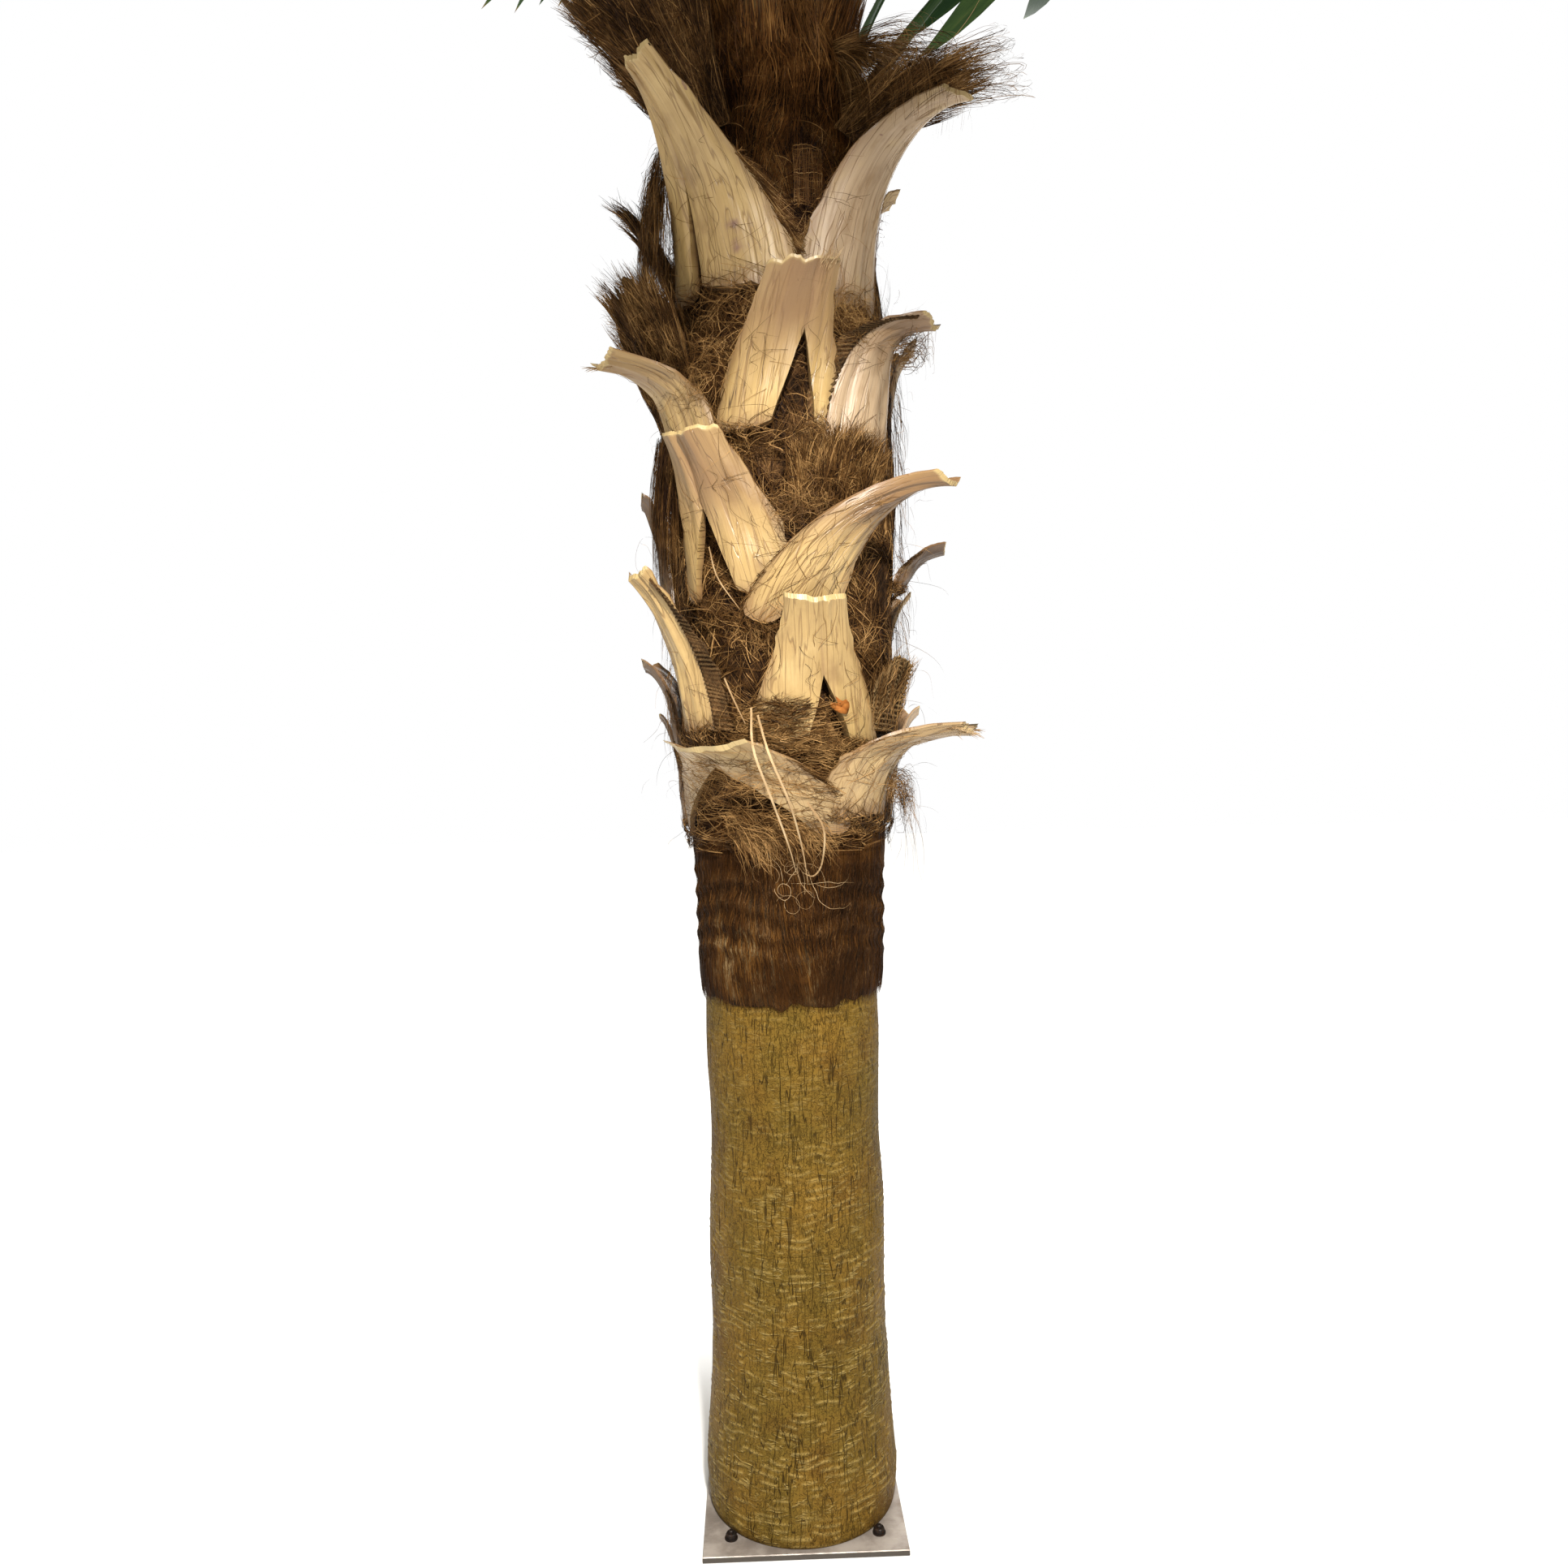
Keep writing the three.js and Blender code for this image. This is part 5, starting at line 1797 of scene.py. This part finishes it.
@dataclass
class Crown:
    """Fan fronds that climb the heart by the golden angle, and the spear in the middle."""

    count: int = 15
    first_turn: float = 78
    golden_angle: float = 137.508
    first_foot: float = 2890
    foot_step: float = 18.4
    first_elevation: float = 44.5
    last_elevation: float = 82.8
    lean: float = 9
    roll: float = 2.6
    petiole_length: float = 930
    petiole_longer: float = 8.9
    blade_length: float = 830
    blade_shorter: float = 22.3
    spread: float = 116.6
    young_spread: float = 37.2
    leaflets: int = 38
    split: float = 0.40
    pleat: float = 0.006
    fold: float = 0.38
    bend: float = 55.5
    droop: float = 0.16
    side: float = 0.6
    teeth: int = 34
    foot_width: float = 0.072
    bar_width: float = 0.030
    bar_back: float = 0.0085
    bar_front: float = 0.0055
    tail: float = 0.09
    spear_length: float = 1.02
    spear_gap: float = 0.0003
    wrap_fibres: int = 300
    raised: tuple[int, ...] = (2,)
    front: Colour = (0.0, -0.82, -0.57)
    reflexed: tuple[tuple[float, float, float], ...] = (
        (150, 0.88, -0.9), (130, 1.02, -1.0), (100, 1.27, -0.95)
    )
    seed: int = 31

    def build(self, finishes: Finishes) -> None:
        """Builds and dresses the fronds and the spear."""
        fronds = [self._place(index) for index in range(self.count)]
        for frond in fronds:
            name = f"frond_{frond.number:02d}"
            skin = Skin.join([self._petiole(frond), self._teeth(frond), self._blade(frond)])
            add_piece(f"fan_{name}", skin, finishes["frond"], [name])
        wraps = Skin.join([self._wrap(frond) for frond in fronds])
        add_piece("heart_wraps", wraps, finishes["heart"])
        add_piece("spear", self._spear(), finishes["frond"], ["spear_leaf"])

    def _place(self, index: int) -> Frond:
        """Returns where frond number index stands."""
        age = index / (self.count - 1)
        turn = math.radians(self.first_turn + self.golden_angle * index)
        foot = (self.first_foot + self.foot_step * index) * MM
        elevation = blend(self.first_elevation, self.last_elevation, age) - self.lean * math.cos(turn)
        reach = (self.petiole_length + self.petiole_longer * index) * MM
        start = np.array([float(SLEEVE_OUTLINE.at(foot)), foot])
        end = start + reach * np.array([math.cos(math.radians(elevation)), math.sin(math.radians(elevation))])
        knee = np.array([blend(start[0], end[0], 0.3), blend(start[1], end[1], 0.5)])
        roll = math.radians(self.roll) * (1 if index % 2 else -1)
        return Frond(index + 1, age, turn, start, knee, end, roll)

    def _centreline(self, frond: Frond, u: Array) -> tuple[Array, Array]:
        """Returns the petiole's points out and up, and its direction, at u."""
        tail = frond.end + (frond.end - frond.knee) / np.linalg.norm(frond.end - frond.knee) * self.tail
        u = np.asarray(u)[..., None]
        line = (1 - u) ** 2 * frond.start + 2 * u * (1 - u) * frond.knee + u**2 * tail
        along = 2 * (1 - u) * (frond.knee - frond.start) + 2 * u * (tail - frond.knee)
        return line, along / np.linalg.norm(along, axis=-1, keepdims=True)

    def _half(self, u: Array) -> Array:
        """Returns half the petiole's width at u."""
        return blend(self.foot_width, self.bar_width, ease(u / 0.4)) / 2

    def _petiole(self, frond: Frond) -> Skin:
        """Returns the petiole: a clasping brown foot that narrows to a green bar with a rounded back."""
        rows, sides, seat = 26, 12, 0.0012
        u = np.linspace(0.0, 1.0, rows) ** 1.3
        line, along = self._centreline(frond, u)
        section = np.linspace(0, 2 * math.pi, sides + 1)[:-1]
        across = np.cos(section)[None, :] * self._half(u)[:, None]
        back = np.where(np.sin(section) > 0, self.bar_back, self.bar_front)
        depth = self.bar_back + np.sin(section)[None, :] * back[None, :]
        radius = line[:, :1] + seat + along[:, 1:] * depth
        height = line[:, 1:] - along[:, :1] * depth
        points = on_bearing(radius, frond.turn + across / (line[:, :1] + seat), height).reshape(-1, 3)
        quads = [grid_quads(rows, sides, closed=True)[:, ::-1]]
        for row, turn in ((0, 1), (rows - 1, -1)):
            corners = np.array([[0, k, k + 1, k + 2][::turn] for k in range(1, sides - 2, 2)])
            quads.append(row * sides + corners)
        grain = np.stack(np.broadcast_arrays(across, u[:, None]), axis=2)
        shade = np.broadcast_to(blend(1.0, 0.47, ease((u - 0.08) / 0.24))[:, None], across.shape)
        return Skin(points, np.concatenate(quads), {"shade": shade.ravel()}, grain.reshape(-1, 2))

    def _wrap(self, frond: Frond) -> Skin:
        """Returns the fibres of the heart that run up over a petiole's foot."""
        draws, t = Draws(self.seed + 90 + frond.number, self.wrap_fibres), stations(6)
        u = draws.even(-0.10, 0.07) + draws.even(0.03, 0.13) * t
        line, along = self._centreline(frond, np.clip(u, 0.0, 1.0))
        side = draws.even(-1.0, 1.0) + draws.bell(0.2) * t
        depth = (0.0135 + 0.009 * (1 - side**2)) * ease((u + 0.10) / 0.10) + draws.even(0.001, 0.007)
        radius = line[..., 0] + along[..., 1] * depth
        height = line[..., 1] - along[..., 0] * depth + np.minimum(u, 0.0) * 0.9
        paths = on_bearing(radius, frond.turn + side * 0.046 / radius, height)
        return draws.fibres(paths, (0.0008, 0.0019), (0.44, 0.22))

    def _teeth(self, frond: Frond) -> Skin:
        """Returns the small teeth on the petiole's two edges."""
        rng = np.random.default_rng(self.seed + frond.number)
        u = np.repeat(np.linspace(0.12, 0.86, self.teeth), 2) + rng.uniform(-0.006, 0.006, 2 * self.teeth)
        side = np.tile([-1.0, 1.0], self.teeth)
        line, along = self._centreline(frond, u)
        tall = rng.uniform(0.004, 0.010, len(u))
        out = on_bearing(1.0, frond.turn, 0.0)
        level, up = np.array([np.cos(frond.turn), np.sin(frond.turn), 0.0]), np.array([0.0, 0.0, 1.0])
        step = out * along[:, :1] + up * along[:, 1:]
        lift = out * along[:, 1:] - up * along[:, :1]
        root = out * line[:, :1] + up * line[:, 1:] + lift * 0.009
        root = root + level * (side * (self._half(u) - 0.001))[:, None]
        tip = root + level * (side * tall)[:, None] + step * (0.7 * tall)[:, None]
        corners = np.stack([root - step * 0.004, root + step * 0.004, tip, root + lift * 0.002], axis=1)
        number = np.arange(len(u))[:, None] * 4
        quads = np.concatenate([number + [0, 1, 2, 3], number + [0, 3, 2, 1]])
        grain = np.zeros((len(u) * 4, 2))
        return Skin(corners.reshape(-1, 3), quads, {"shade": np.full(len(grain), 0.15)}, grain)

    def _frame(self, frond: Frond) -> tuple[Array, Array, Array]:
        """Returns the blade's directions: along the rib, across the fan and out of its upper face."""
        rise = math.atan2(frond.end[1] - frond.knee[1], frond.end[0] - frond.knee[0])
        out = np.array([math.sin(frond.turn), -math.cos(frond.turn), 0.0])
        along = out * math.cos(rise) + np.array([0.0, 0.0, math.sin(rise)])
        level = Vector((math.cos(frond.turn), math.sin(frond.turn), 0.0))
        across = np.array(Matrix.Rotation(frond.roll, 3, Vector(along)) @ level)
        face = np.cross(along, across)
        return along, across, face / np.linalg.norm(face)

    def _fan_point(
        self, frond: Frond, length: float, distance: Array, angle: Array, lift: Array, hang: Array
    ) -> Array:
        """Returns points of the fan.

        Args:
            frond: Where the frond stands.
            length: Length of the blade.
            distance: Distance from the heart of the leaf.
            angle: Angle from the rib.
            lift: Height above the leaf.
            hang: How much more than the leaf itself the point hangs.

        Returns:
            The points.
        """
        along, across, face = self._frame(frond)
        reach, sideways = distance * np.cos(angle), distance * np.sin(angle)
        arc = length / math.radians(self.bend)
        curl = np.maximum(reach, 0.0) / arc
        forward = np.where(reach > 0, arc * np.sin(curl), reach)
        sink = np.where(reach > 0, arc * (1 - np.cos(curl)), 0.0)
        fall = self.droop * length * (distance / length) ** 3 * (1 + hang)
        root = on_bearing(frond.end[0], frond.turn, frond.end[1])
        rise = lift - sink + self.fold * np.abs(sideways)
        parts = forward[..., None] * along + sideways[..., None] * across + rise[..., None] * face
        return root + parts - fall[..., None] * np.array([0.0, 0.0, 1.0])

    def _twisted(self, points: Array, free: Array) -> Array:
        """Returns bent-back leaflets twisted flat to the front along their free part.

        Args:
            points: Left rim, ridge and right rim of each leaflet.
            free: How far along its free part each row is.

        Returns:
            The turned points.
        """
        if not len(points):
            return points
        ridge = points[:, :, 1:2]
        side = (points[:, :, 2:3] - points[:, :, 0:1]) / 2
        flat = np.cross(np.gradient(ridge, axis=1), np.array(self.front))
        flat = flat * np.sign((flat * side).sum(axis=(1, 2, 3), keepdims=True))
        size = np.linalg.norm(side, axis=3, keepdims=True)
        flat = flat / np.linalg.norm(flat, axis=3, keepdims=True)
        turned = blend(side / np.maximum(size, 1e-9), flat, ease(2 * free)[:, :, None, None])
        turned = turned / np.linalg.norm(turned, axis=3, keepdims=True) * size
        return np.concatenate([ridge - turned, ridge, ridge + turned], axis=2)

    def _blade(self, frond: Frond) -> Skin:
        """Returns the fan: folded leaflets, joined out to the split and free beyond it."""
        rng = np.random.default_rng(self.seed + 50 + frond.number)
        length = (self.blade_length - self.blade_shorter * (frond.number - 1)) * MM
        spread = math.radians(blend(self.spread, self.young_spread, frond.age**2))
        rows, heart = 13, 0.02
        share = np.linspace(0.0, 1.0, rows)
        middle = blend(-spread, spread, (np.arange(self.leaflets) + 0.5) / self.leaflets)
        extra = np.array(self.reflexed if frond.number == 1 else ()).reshape(-1, 3)
        middle = np.concatenate([middle, np.radians(extra[:, 0])])
        count = len(middle)
        back = np.arange(count) >= self.leaflets
        reach = length * blend(self.side, 1.0, np.cos(middle / 2) ** 2) * rng.uniform(0.9, 0.99, count)
        reach[back] = length * extra[:, 1]
        distance = heart + share[None, :] * (reach[:, None] - heart)
        part = distance / reach[:, None]
        half = spread / self.leaflets
        free = np.clip((part - self.split) / (1 - self.split), 0.0, 1.0)
        narrow = self.split / part * (1 - free**1.6) * (1 + 0.6 * free)
        width = half * np.where(part < self.split, 1.0, narrow)
        width = width * np.where(back, 2.0, 1.0)[:, None]
        sway = rng.normal(0.0, 0.028, count)[:, None] * free**1.5
        hang = rng.uniform(-0.3, 0.3, count) - (0.9 if frond.number in self.raised else 0.0)
        hang[back] = extra[:, 2]
        hang = hang[:, None] * free
        ridge = self.pleat * ease(part / 0.25) * (1 - free**3)
        columns = []
        for offset, lift in ((-1.0, 0.0), (0.0, 1.0), (1.0, 0.0)):
            angle = middle[:, None] + offset * width + sway
            columns.append(self._fan_point(frond, length, distance, angle, lift * ridge - 0.004, hang))
        points = np.stack(columns, axis=2)
        points[back] = self._twisted(points[back], free[back])
        quads = np.concatenate([grid_quads(rows, 3, start=k * rows * 3) for k in range(count)])[:, ::-1]
        tone = rng.normal(0.42, 0.13, count)[:, None] + 0.5 * np.clip(part - 0.93, 0, 1) / 0.07
        shade = np.repeat(np.clip(tone, 0.0, 1.0)[:, :, None], 3, axis=2)
        across = np.array([-1.0, 0.0, 1.0])[None, None, :] * 0.012 + 0.05 * np.arange(count)[:, None, None]
        grain = np.stack(np.broadcast_arrays(across, distance[:, :, None]), axis=3).reshape(-1, 2)
        return Skin(points.reshape(-1, 3), quads, {"shade": shade.ravel()}, grain)

    def _spear(self) -> Skin:
        """Returns the unopened leaf: a slim pleated spindle on the trunk's tip."""
        rows, sides = 24, 24
        foot = TRUNK_OUTLINE.heights[-1] * MM + self.spear_gap
        share = np.linspace(0.0, 1.0, rows)[:, None]
        turn = np.linspace(0, 2 * math.pi, sides + 1)[None, :-1]
        belly = np.interp(share, [0.0, 0.45, 1.0], [0.012, 0.024, 0.0008])
        radius = belly * (0.93 + 0.07 * np.cos(turn * 12))
        points = on_bearing(radius, turn, foot + self.spear_length * share)
        shade = np.broadcast_to(0.6 - 0.2 * share, radius.shape)
        grain = np.stack(np.broadcast_arrays(turn * 0.02, share), axis=2).reshape(-1, 2)
        quads = grid_quads(rows, sides, closed=True)
        return Skin(points.reshape(-1, 3), quads, {"shade": shade.ravel()}, grain)


# Loose fibres


@dataclass(frozen=True)
class Lock:
    """A lock of loose fibres. Degrees and metres."""

    turn: float
    height: float
    radius: float
    spread: tuple[float, float]
    sweep: float
    fall: float
    lift: float
    count: int
    shade: float = 0.45
    curl: float = 0.1
    gather: float = 0.0


@dataclass
class LooseFibres:
    """Locks and stray fibres that stand off the outline, and the pale strips that hang at the front."""

    sleeve: Sleeve
    seed: int = 61
    strays: int = 420
    stray_band: tuple[float, float] = (1.40, 2.95)
    roots: int = 18
    root_band: tuple[float, float] = (1.27, 1.37)
    strip_width: float = 0.0044
    strip_narrower: float = 0.0003
    strip_shade: float = 0.8
    strip_darker: float = 0.08
    strips: tuple[tuple[tuple[float, float, float], ...], ...] = (
        ((-16, 1.640, 0.262), (-12, 1.56, 0.335), (-7, 1.47, 0.320), (-2, 1.385, 0.262), (2, 1.325, 0.214)),
        ((-13, 1.625, 0.268), (-7, 1.55, 0.340), (-1, 1.46, 0.322), (4, 1.375, 0.256), (8, 1.305, 0.212)),
        ((6, 1.46, 0.275), (13, 1.41, 0.262), (15, 1.345, 0.222), (11, 1.318, 0.214), (5, 1.325, 0.215)),
        ((-30, 1.70, 0.245), (-24, 1.66, 0.262), (-19, 1.61, 0.258)),
        ((-37, 1.955, 0.245), (-30, 1.89, 0.262), (-20, 1.825, 0.262)),
        ((70, 2.955, 0.360), (70.5, 3.015, 0.415), (71, 3.080, 0.455)),
    )
    locks: tuple[Lock, ...] = (
        Lock(-15, 1.425, 0.212, (22, 0.02), 13, -0.075, 0.012, 480, 0.62),
        Lock(60, 1.490, 0.235, (9, 0.03), 5, -0.040, 0.030, 130, 0.55, 0.5),
        Lock(63, 1.480, 0.245, (5, 0.03), 4, -0.170, 0.040, 22, 0.55, 0.2),
        Lock(38, 2.370, 0.240, (8, 0.03), -6, 0.020, 0.020, 120, 0.55, 0.6),
        Lock(62, 2.350, 0.262, (9, 0.03), 8, 0.040, 0.050, 120, 0.55, 0.4),
        Lock(-68, 2.160, 0.250, (15, 0.05), 0, -0.200, 0.016, 900, 0.26),
        Lock(60, 2.862, 0.170, (12, 0.030), 3, -0.005, 0.300, 600, 0.58, 0.1, 0.9),
        Lock(49, 2.955, 0.160, (12, 0.015), 3, -0.165, 0.215, 650, 0.50, 0.1, 0.9),
        Lock(-80, 2.740, 0.245, (20, 0.05), 4, -0.260, 0.035, 1000, 0.36, 0.3),
        Lock(6, 2.040, 0.238, (12, 0.06), 4, -0.030, 0.025, 160, 0.45, 0.6),
        Lock(-44, 2.330, 0.262, (12, 0.06), 5, -0.060, 0.020, 160, 0.45, 0.5),
        Lock(-8, 1.880, 0.228, (14, 0.05), 6, -0.090, 0.012, 420, 0.50),
        Lock(20, 2.150, 0.236, (12, 0.04), -6, -0.090, 0.012, 380, 0.50),
        Lock(110, 2.100, 0.240, (30, 0.30), 6, -0.110, 0.020, 500, 0.42),
        Lock(185, 1.900, 0.235, (40, 0.40), -6, -0.110, 0.020, 700, 0.42),
        Lock(245, 1.950, 0.235, (30, 0.30), 5, -0.110, 0.015, 400, 0.42),
    )

    def build(self, finishes: Finishes) -> None:
        """Builds and dresses the loose fibres."""
        locks = Skin.join([self._lock(lock, number) for number, lock in enumerate(self.locks)])
        add_piece("hair_locks", locks, finishes["fibre"])
        add_piece("stray_fibre", self._stray(), finishes["fibre"])
        add_piece("pale_strips", self._strips(), finishes["straw"])
        add_piece("pale_roots", self._roots(), finishes["straw"])
        add_piece("woven_patch", self._patch(), finishes["fibre"])

    def _lock(self, lock: Lock, number: int) -> Skin:
        """Returns one lock of fibres."""
        draws, t = Draws(self.seed + 20 + number, lock.count), stations(12)
        turns, start = draws.even(4, 11), draws.even(0, 6)
        wave = lock.curl * np.sin(t * turns + start) * t
        bearing = lock.turn + lock.spread[0] * draws.even(-1, 1) + lock.sweep * draws.even(0.4, 1.5) * t
        bearing = np.radians(bearing) + 0.3 * wave
        height = lock.height + lock.spread[1] * draws.even(-1, 1) * (1 - lock.gather * t)
        height = height + lock.fall * draws.even(0.4, 1.3) * t**1.2
        height = height + 0.07 * lock.curl * np.cos(t * turns + start) * t
        away = np.maximum(lock.radius, self.sleeve.radius(bearing, height) + 0.001) + draws.even(0, 0.010)
        radius = away + lock.lift * draws.even(0.1, 1.2) * np.sin(math.pi * 0.6 * t)
        return draws.fibres(on_bearing(radius, bearing, height), (0.0006, 0.0015), (lock.shade, 0.2))

    def _stray(self) -> Skin:
        """Returns thin curling fibres that leave the sleeve and the mats."""
        steps = 14
        draws, t = Draws(self.seed, self.strays), stations(steps)
        turn, height = draws.even(0, 2 * math.pi), draws.even(*self.stray_band)
        move = draws.even(0.04, 0.14) / (steps - 1)
        rise = draws.even(-1.0, 1.2) - 2.4 * t * draws.even(0.3, 1.0)
        out = np.cumsum(np.cos(rise) * move, axis=1) * draws.even(0.35, 1.0)
        up = np.cumsum(np.sin(rise) * move, axis=1)
        swing = draws.bell(0.35) * t + 0.06 * np.sin(t * 7 + turn * 5)
        radius = self.sleeve.radius(turn, height) + draws.even(0.0, 0.04) + np.clip(out, 0, None)
        return draws.fibres(on_bearing(radius, turn + swing, height + up), (0.0004, 0.0008), (0.5, 0.25), 2.0)

    def _strips(self) -> Skin:
        """Returns the pale strips of dry leaf that hang at the front."""
        skins = []
        for number, keys in enumerate(self.strips):
            bearing, height, radius = np.array(keys).T
            path = spline(on_bearing(radius, np.radians(bearing), height), 22)[None]
            facing = path * np.array([1.0, 1.0, 0.0]) + 0.05 * math.sin(number * 3.0)
            width = np.array([self.strip_width - self.strip_narrower * number])
            shade = np.array([self.strip_shade - self.strip_darker * number])
            skins.append(ribbons(path, width, facing, shade))
        return Skin.join(skins)

    def _roots(self) -> Skin:
        """Returns the fine curled roots at the ends of the strips."""
        draws, steps = Draws(self.seed + 1, self.roots), 34
        bend = draws.bell(0.16) + draws.rng.normal(0, 0.12, (self.roots, steps))
        heading = draws.even(0, 2 * math.pi) + np.cumsum(bend, axis=1)
        move = draws.even(0.0025, 0.0055)
        bearing = np.radians(draws.even(-12, 12)) + np.cumsum(np.sin(heading), axis=1) * move / 0.2
        level = draws.even(*self.root_band) + np.cumsum(np.cos(heading), axis=1) * move
        lift = 0.002 + 0.012 * np.sin(np.linspace(0, math.pi, steps))[None, :] * draws.even(0.1, 1.0)
        paths = on_bearing(self.sleeve.radius(bearing, level) + lift, bearing, level)
        return draws.fibres(paths, (0.0005, 0.0009), (0.5, 0.15), 0.1)

    def _patch(self) -> Skin:
        """Returns the scrap of loosely woven fibre under the heart."""
        steps, threads, away, weave = 12, 19, 0.214, 0.0012
        draws, t = Draws(self.seed + 2, 2 * threads), np.linspace(0.0, 1.0, steps)
        turns, levels = np.linspace(8.0, 23.0, threads), np.linspace(2.605, 2.72, threads)
        under = lambda number: weave * (-1.0) ** (np.arange(steps) + number)
        paths = []
        for number, turn in enumerate(turns):
            bearing = np.radians(turn + 0.5 * np.sin(t * 4 + number))
            height = blend(levels[0], levels[-1], t) + draws.rng.normal(0, 0.004)
            paths.append(on_bearing(away + under(number), bearing, height))
        for number, level in enumerate(levels):
            bearing = np.radians(blend(turns[0], turns[-1], t) + draws.rng.normal(0, 0.4))
            height = level + 0.003 * np.sin(t * 5 + number)
            paths.append(on_bearing(away - under(number), bearing, height))
        return draws.fibres(np.array(paths), (0.0011, 0.0018), (0.40, 0.12), 0.1)


# Stage


@dataclass
class Stage:
    """Floor, lights and the camera at the photograph's angle."""

    frame_pixels: float = 1932.0
    focal_pixels: float = 1395.0
    sensor: float = 36.0
    distance: float = 2.38
    eye_height: float = 1.495
    bearing: float = -1.5
    roll: float = 1.2
    shift_pixels: float = 4.6
    floor_size: float = 60.0
    floor_drop: float = 0.0005
    clip: tuple[float, float] = (0.05, 200.0)
    lamp: Colour = (0.45, -4.45, 4.6)
    lamp_colour: Colour = (1.0, 0.97, 0.91)
    lamp_softness: float = 0.16
    fill_colour: Colour = (1.0, 0.95, 0.86)
    surround: Colour = (0.36, 0.335, 0.285)
    white: Colour = (1.0, 1.0, 1.0)

    def build(self, finishes: Finishes) -> None:
        """Builds the stage."""
        self._floor(finishes["floor"])
        self._camera()
        self._world()
        self._beam("key", (0.0, 0.0, 1.07), power=2400.0, angle=20.75, edge=0.08)
        self._beam("gap_left", (-0.08, -0.25, 2.52), power=1400.0, angle=2.6, edge=0.8)
        self._beam("gap_right", (0.11, -0.22, 2.53), power=4500.0, angle=1.8, edge=0.9)
        self._light("fill", (-3.4, -2.8, 2.4), (0.0, 0.0, 1.7), power=30.0, colour=self.fill_colour, size=2.4)
        self._light("back", (0.8, 4.0, 4.2), (0.0, 0.0, 2.2), power=80.0, colour=self.white, size=2.6)
        self._light("crown", (0.3, -0.4, 7.4), (0.0, 0.0, 3.8), power=260.0, colour=self.white, size=1.6)
        view = bpy.context.scene.view_settings
        view.view_transform = "Standard"
        view.look = "None"

    def _floor(self, material: Material) -> None:
        """Lays the floor under the plate."""
        half, level = self.floor_size / 2, -self.floor_drop
        points = np.array([(x * half, y * half, level) for x, y in ((-1, -1), (1, -1), (1, 1), (-1, 1))])
        mesh = Skin(points, np.array([[0, 1, 2, 3]])).to_mesh("floor")
        mesh.materials.append(material)
        floor = bpy.data.objects.new("floor", mesh)
        bpy.context.scene.collection.objects.link(floor)

    def _camera(self) -> None:
        """Sets the camera."""
        data = bpy.data.cameras.new("camera")
        data.sensor_fit = "HORIZONTAL"
        data.sensor_width = self.sensor
        data.lens = self.sensor * self.focal_pixels / self.frame_pixels
        data.shift_x = -self.shift_pixels / self.frame_pixels
        data.clip_start, data.clip_end = self.clip
        turn, roll = math.radians(self.bearing), math.radians(self.roll)
        forward = Vector((-math.sin(turn), math.cos(turn), 0.0))
        right, up = Vector((math.cos(turn), math.sin(turn), 0.0)), Vector((0.0, 0.0, 1.0))
        image_right = right * math.cos(roll) - up * math.sin(roll)
        image_up = up * math.cos(roll) + right * math.sin(roll)
        rotation = Matrix((image_right, image_up, -forward)).transposed().to_4x4()
        camera = bpy.data.objects.new("camera", data)
        place = Vector((self.distance * math.sin(turn), -self.distance * math.cos(turn), self.eye_height))
        camera.matrix_world = Matrix.Translation(place) @ rotation
        bpy.context.scene.collection.objects.link(camera)
        bpy.context.scene.camera = camera

    def _world(self) -> None:
        """Sets a plain white surround that lights the palm softly and a little warmly."""
        world = bpy.data.worlds.new("surround")
        world.use_nodes = True
        bpy.context.scene.world = world
        nodes = Nodes(world.node_tree)
        seen = nodes.node("ShaderNodeLightPath", {}, "Is Camera Ray")
        ground = world.node_tree.nodes["Background"]
        nodes.feed(ground.inputs["Color"], seen.mix(self.surround, self.white))

    def _beam(self, name: str, target: Colour, power: float, angle: float, edge: float) -> None:
        """Adds a beam of the main light, whose soft edge leaves the rest in the crown's shade."""
        shape = {"spot_size": math.radians(angle), "spot_blend": edge, "shadow_soft_size": self.lamp_softness}
        self._light(name, self.lamp, target, power, self.lamp_colour, "SPOT", **shape)

    def _light(
        self, name: str, place: Colour, target: Colour, power: float, colour: Colour,
        kind: str = "AREA", **shape: float,
    ) -> None:
        """Adds a light and points it at its target.

        Args:
            name: Name of the light.
            place: Where it stands.
            target: What it points at.
            power: Watts.
            colour: Colour of the light.
            kind: Type of the light.
            shape: The sizes that its type has.
        """
        data = bpy.data.lights.new(name, kind)
        data.energy, data.color = power, colour
        for key, value in shape.items():
            setattr(data, key, value)
        light = bpy.data.objects.new(name, data)
        light.location = place
        light.rotation_euler = (Vector(target) - Vector(place)).to_track_quat("-Z", "Y").to_euler()
        bpy.context.scene.collection.objects.link(light)


def main() -> None:
    """Builds the palm on its frame."""
    logging.basicConfig(level=logging.INFO, format="%(name)s %(message)s")
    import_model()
    finishes = Finishes().build()
    sleeve = Sleeve()
    for part in (Base(), Trunk(), sleeve, LeafBases(), FibreMats(), Crown(), LooseFibres(sleeve), Stage()):
        LOG.info("building %s", type(part).__name__)
        part.build(finishes)


if __name__ == "__main__":
    main()
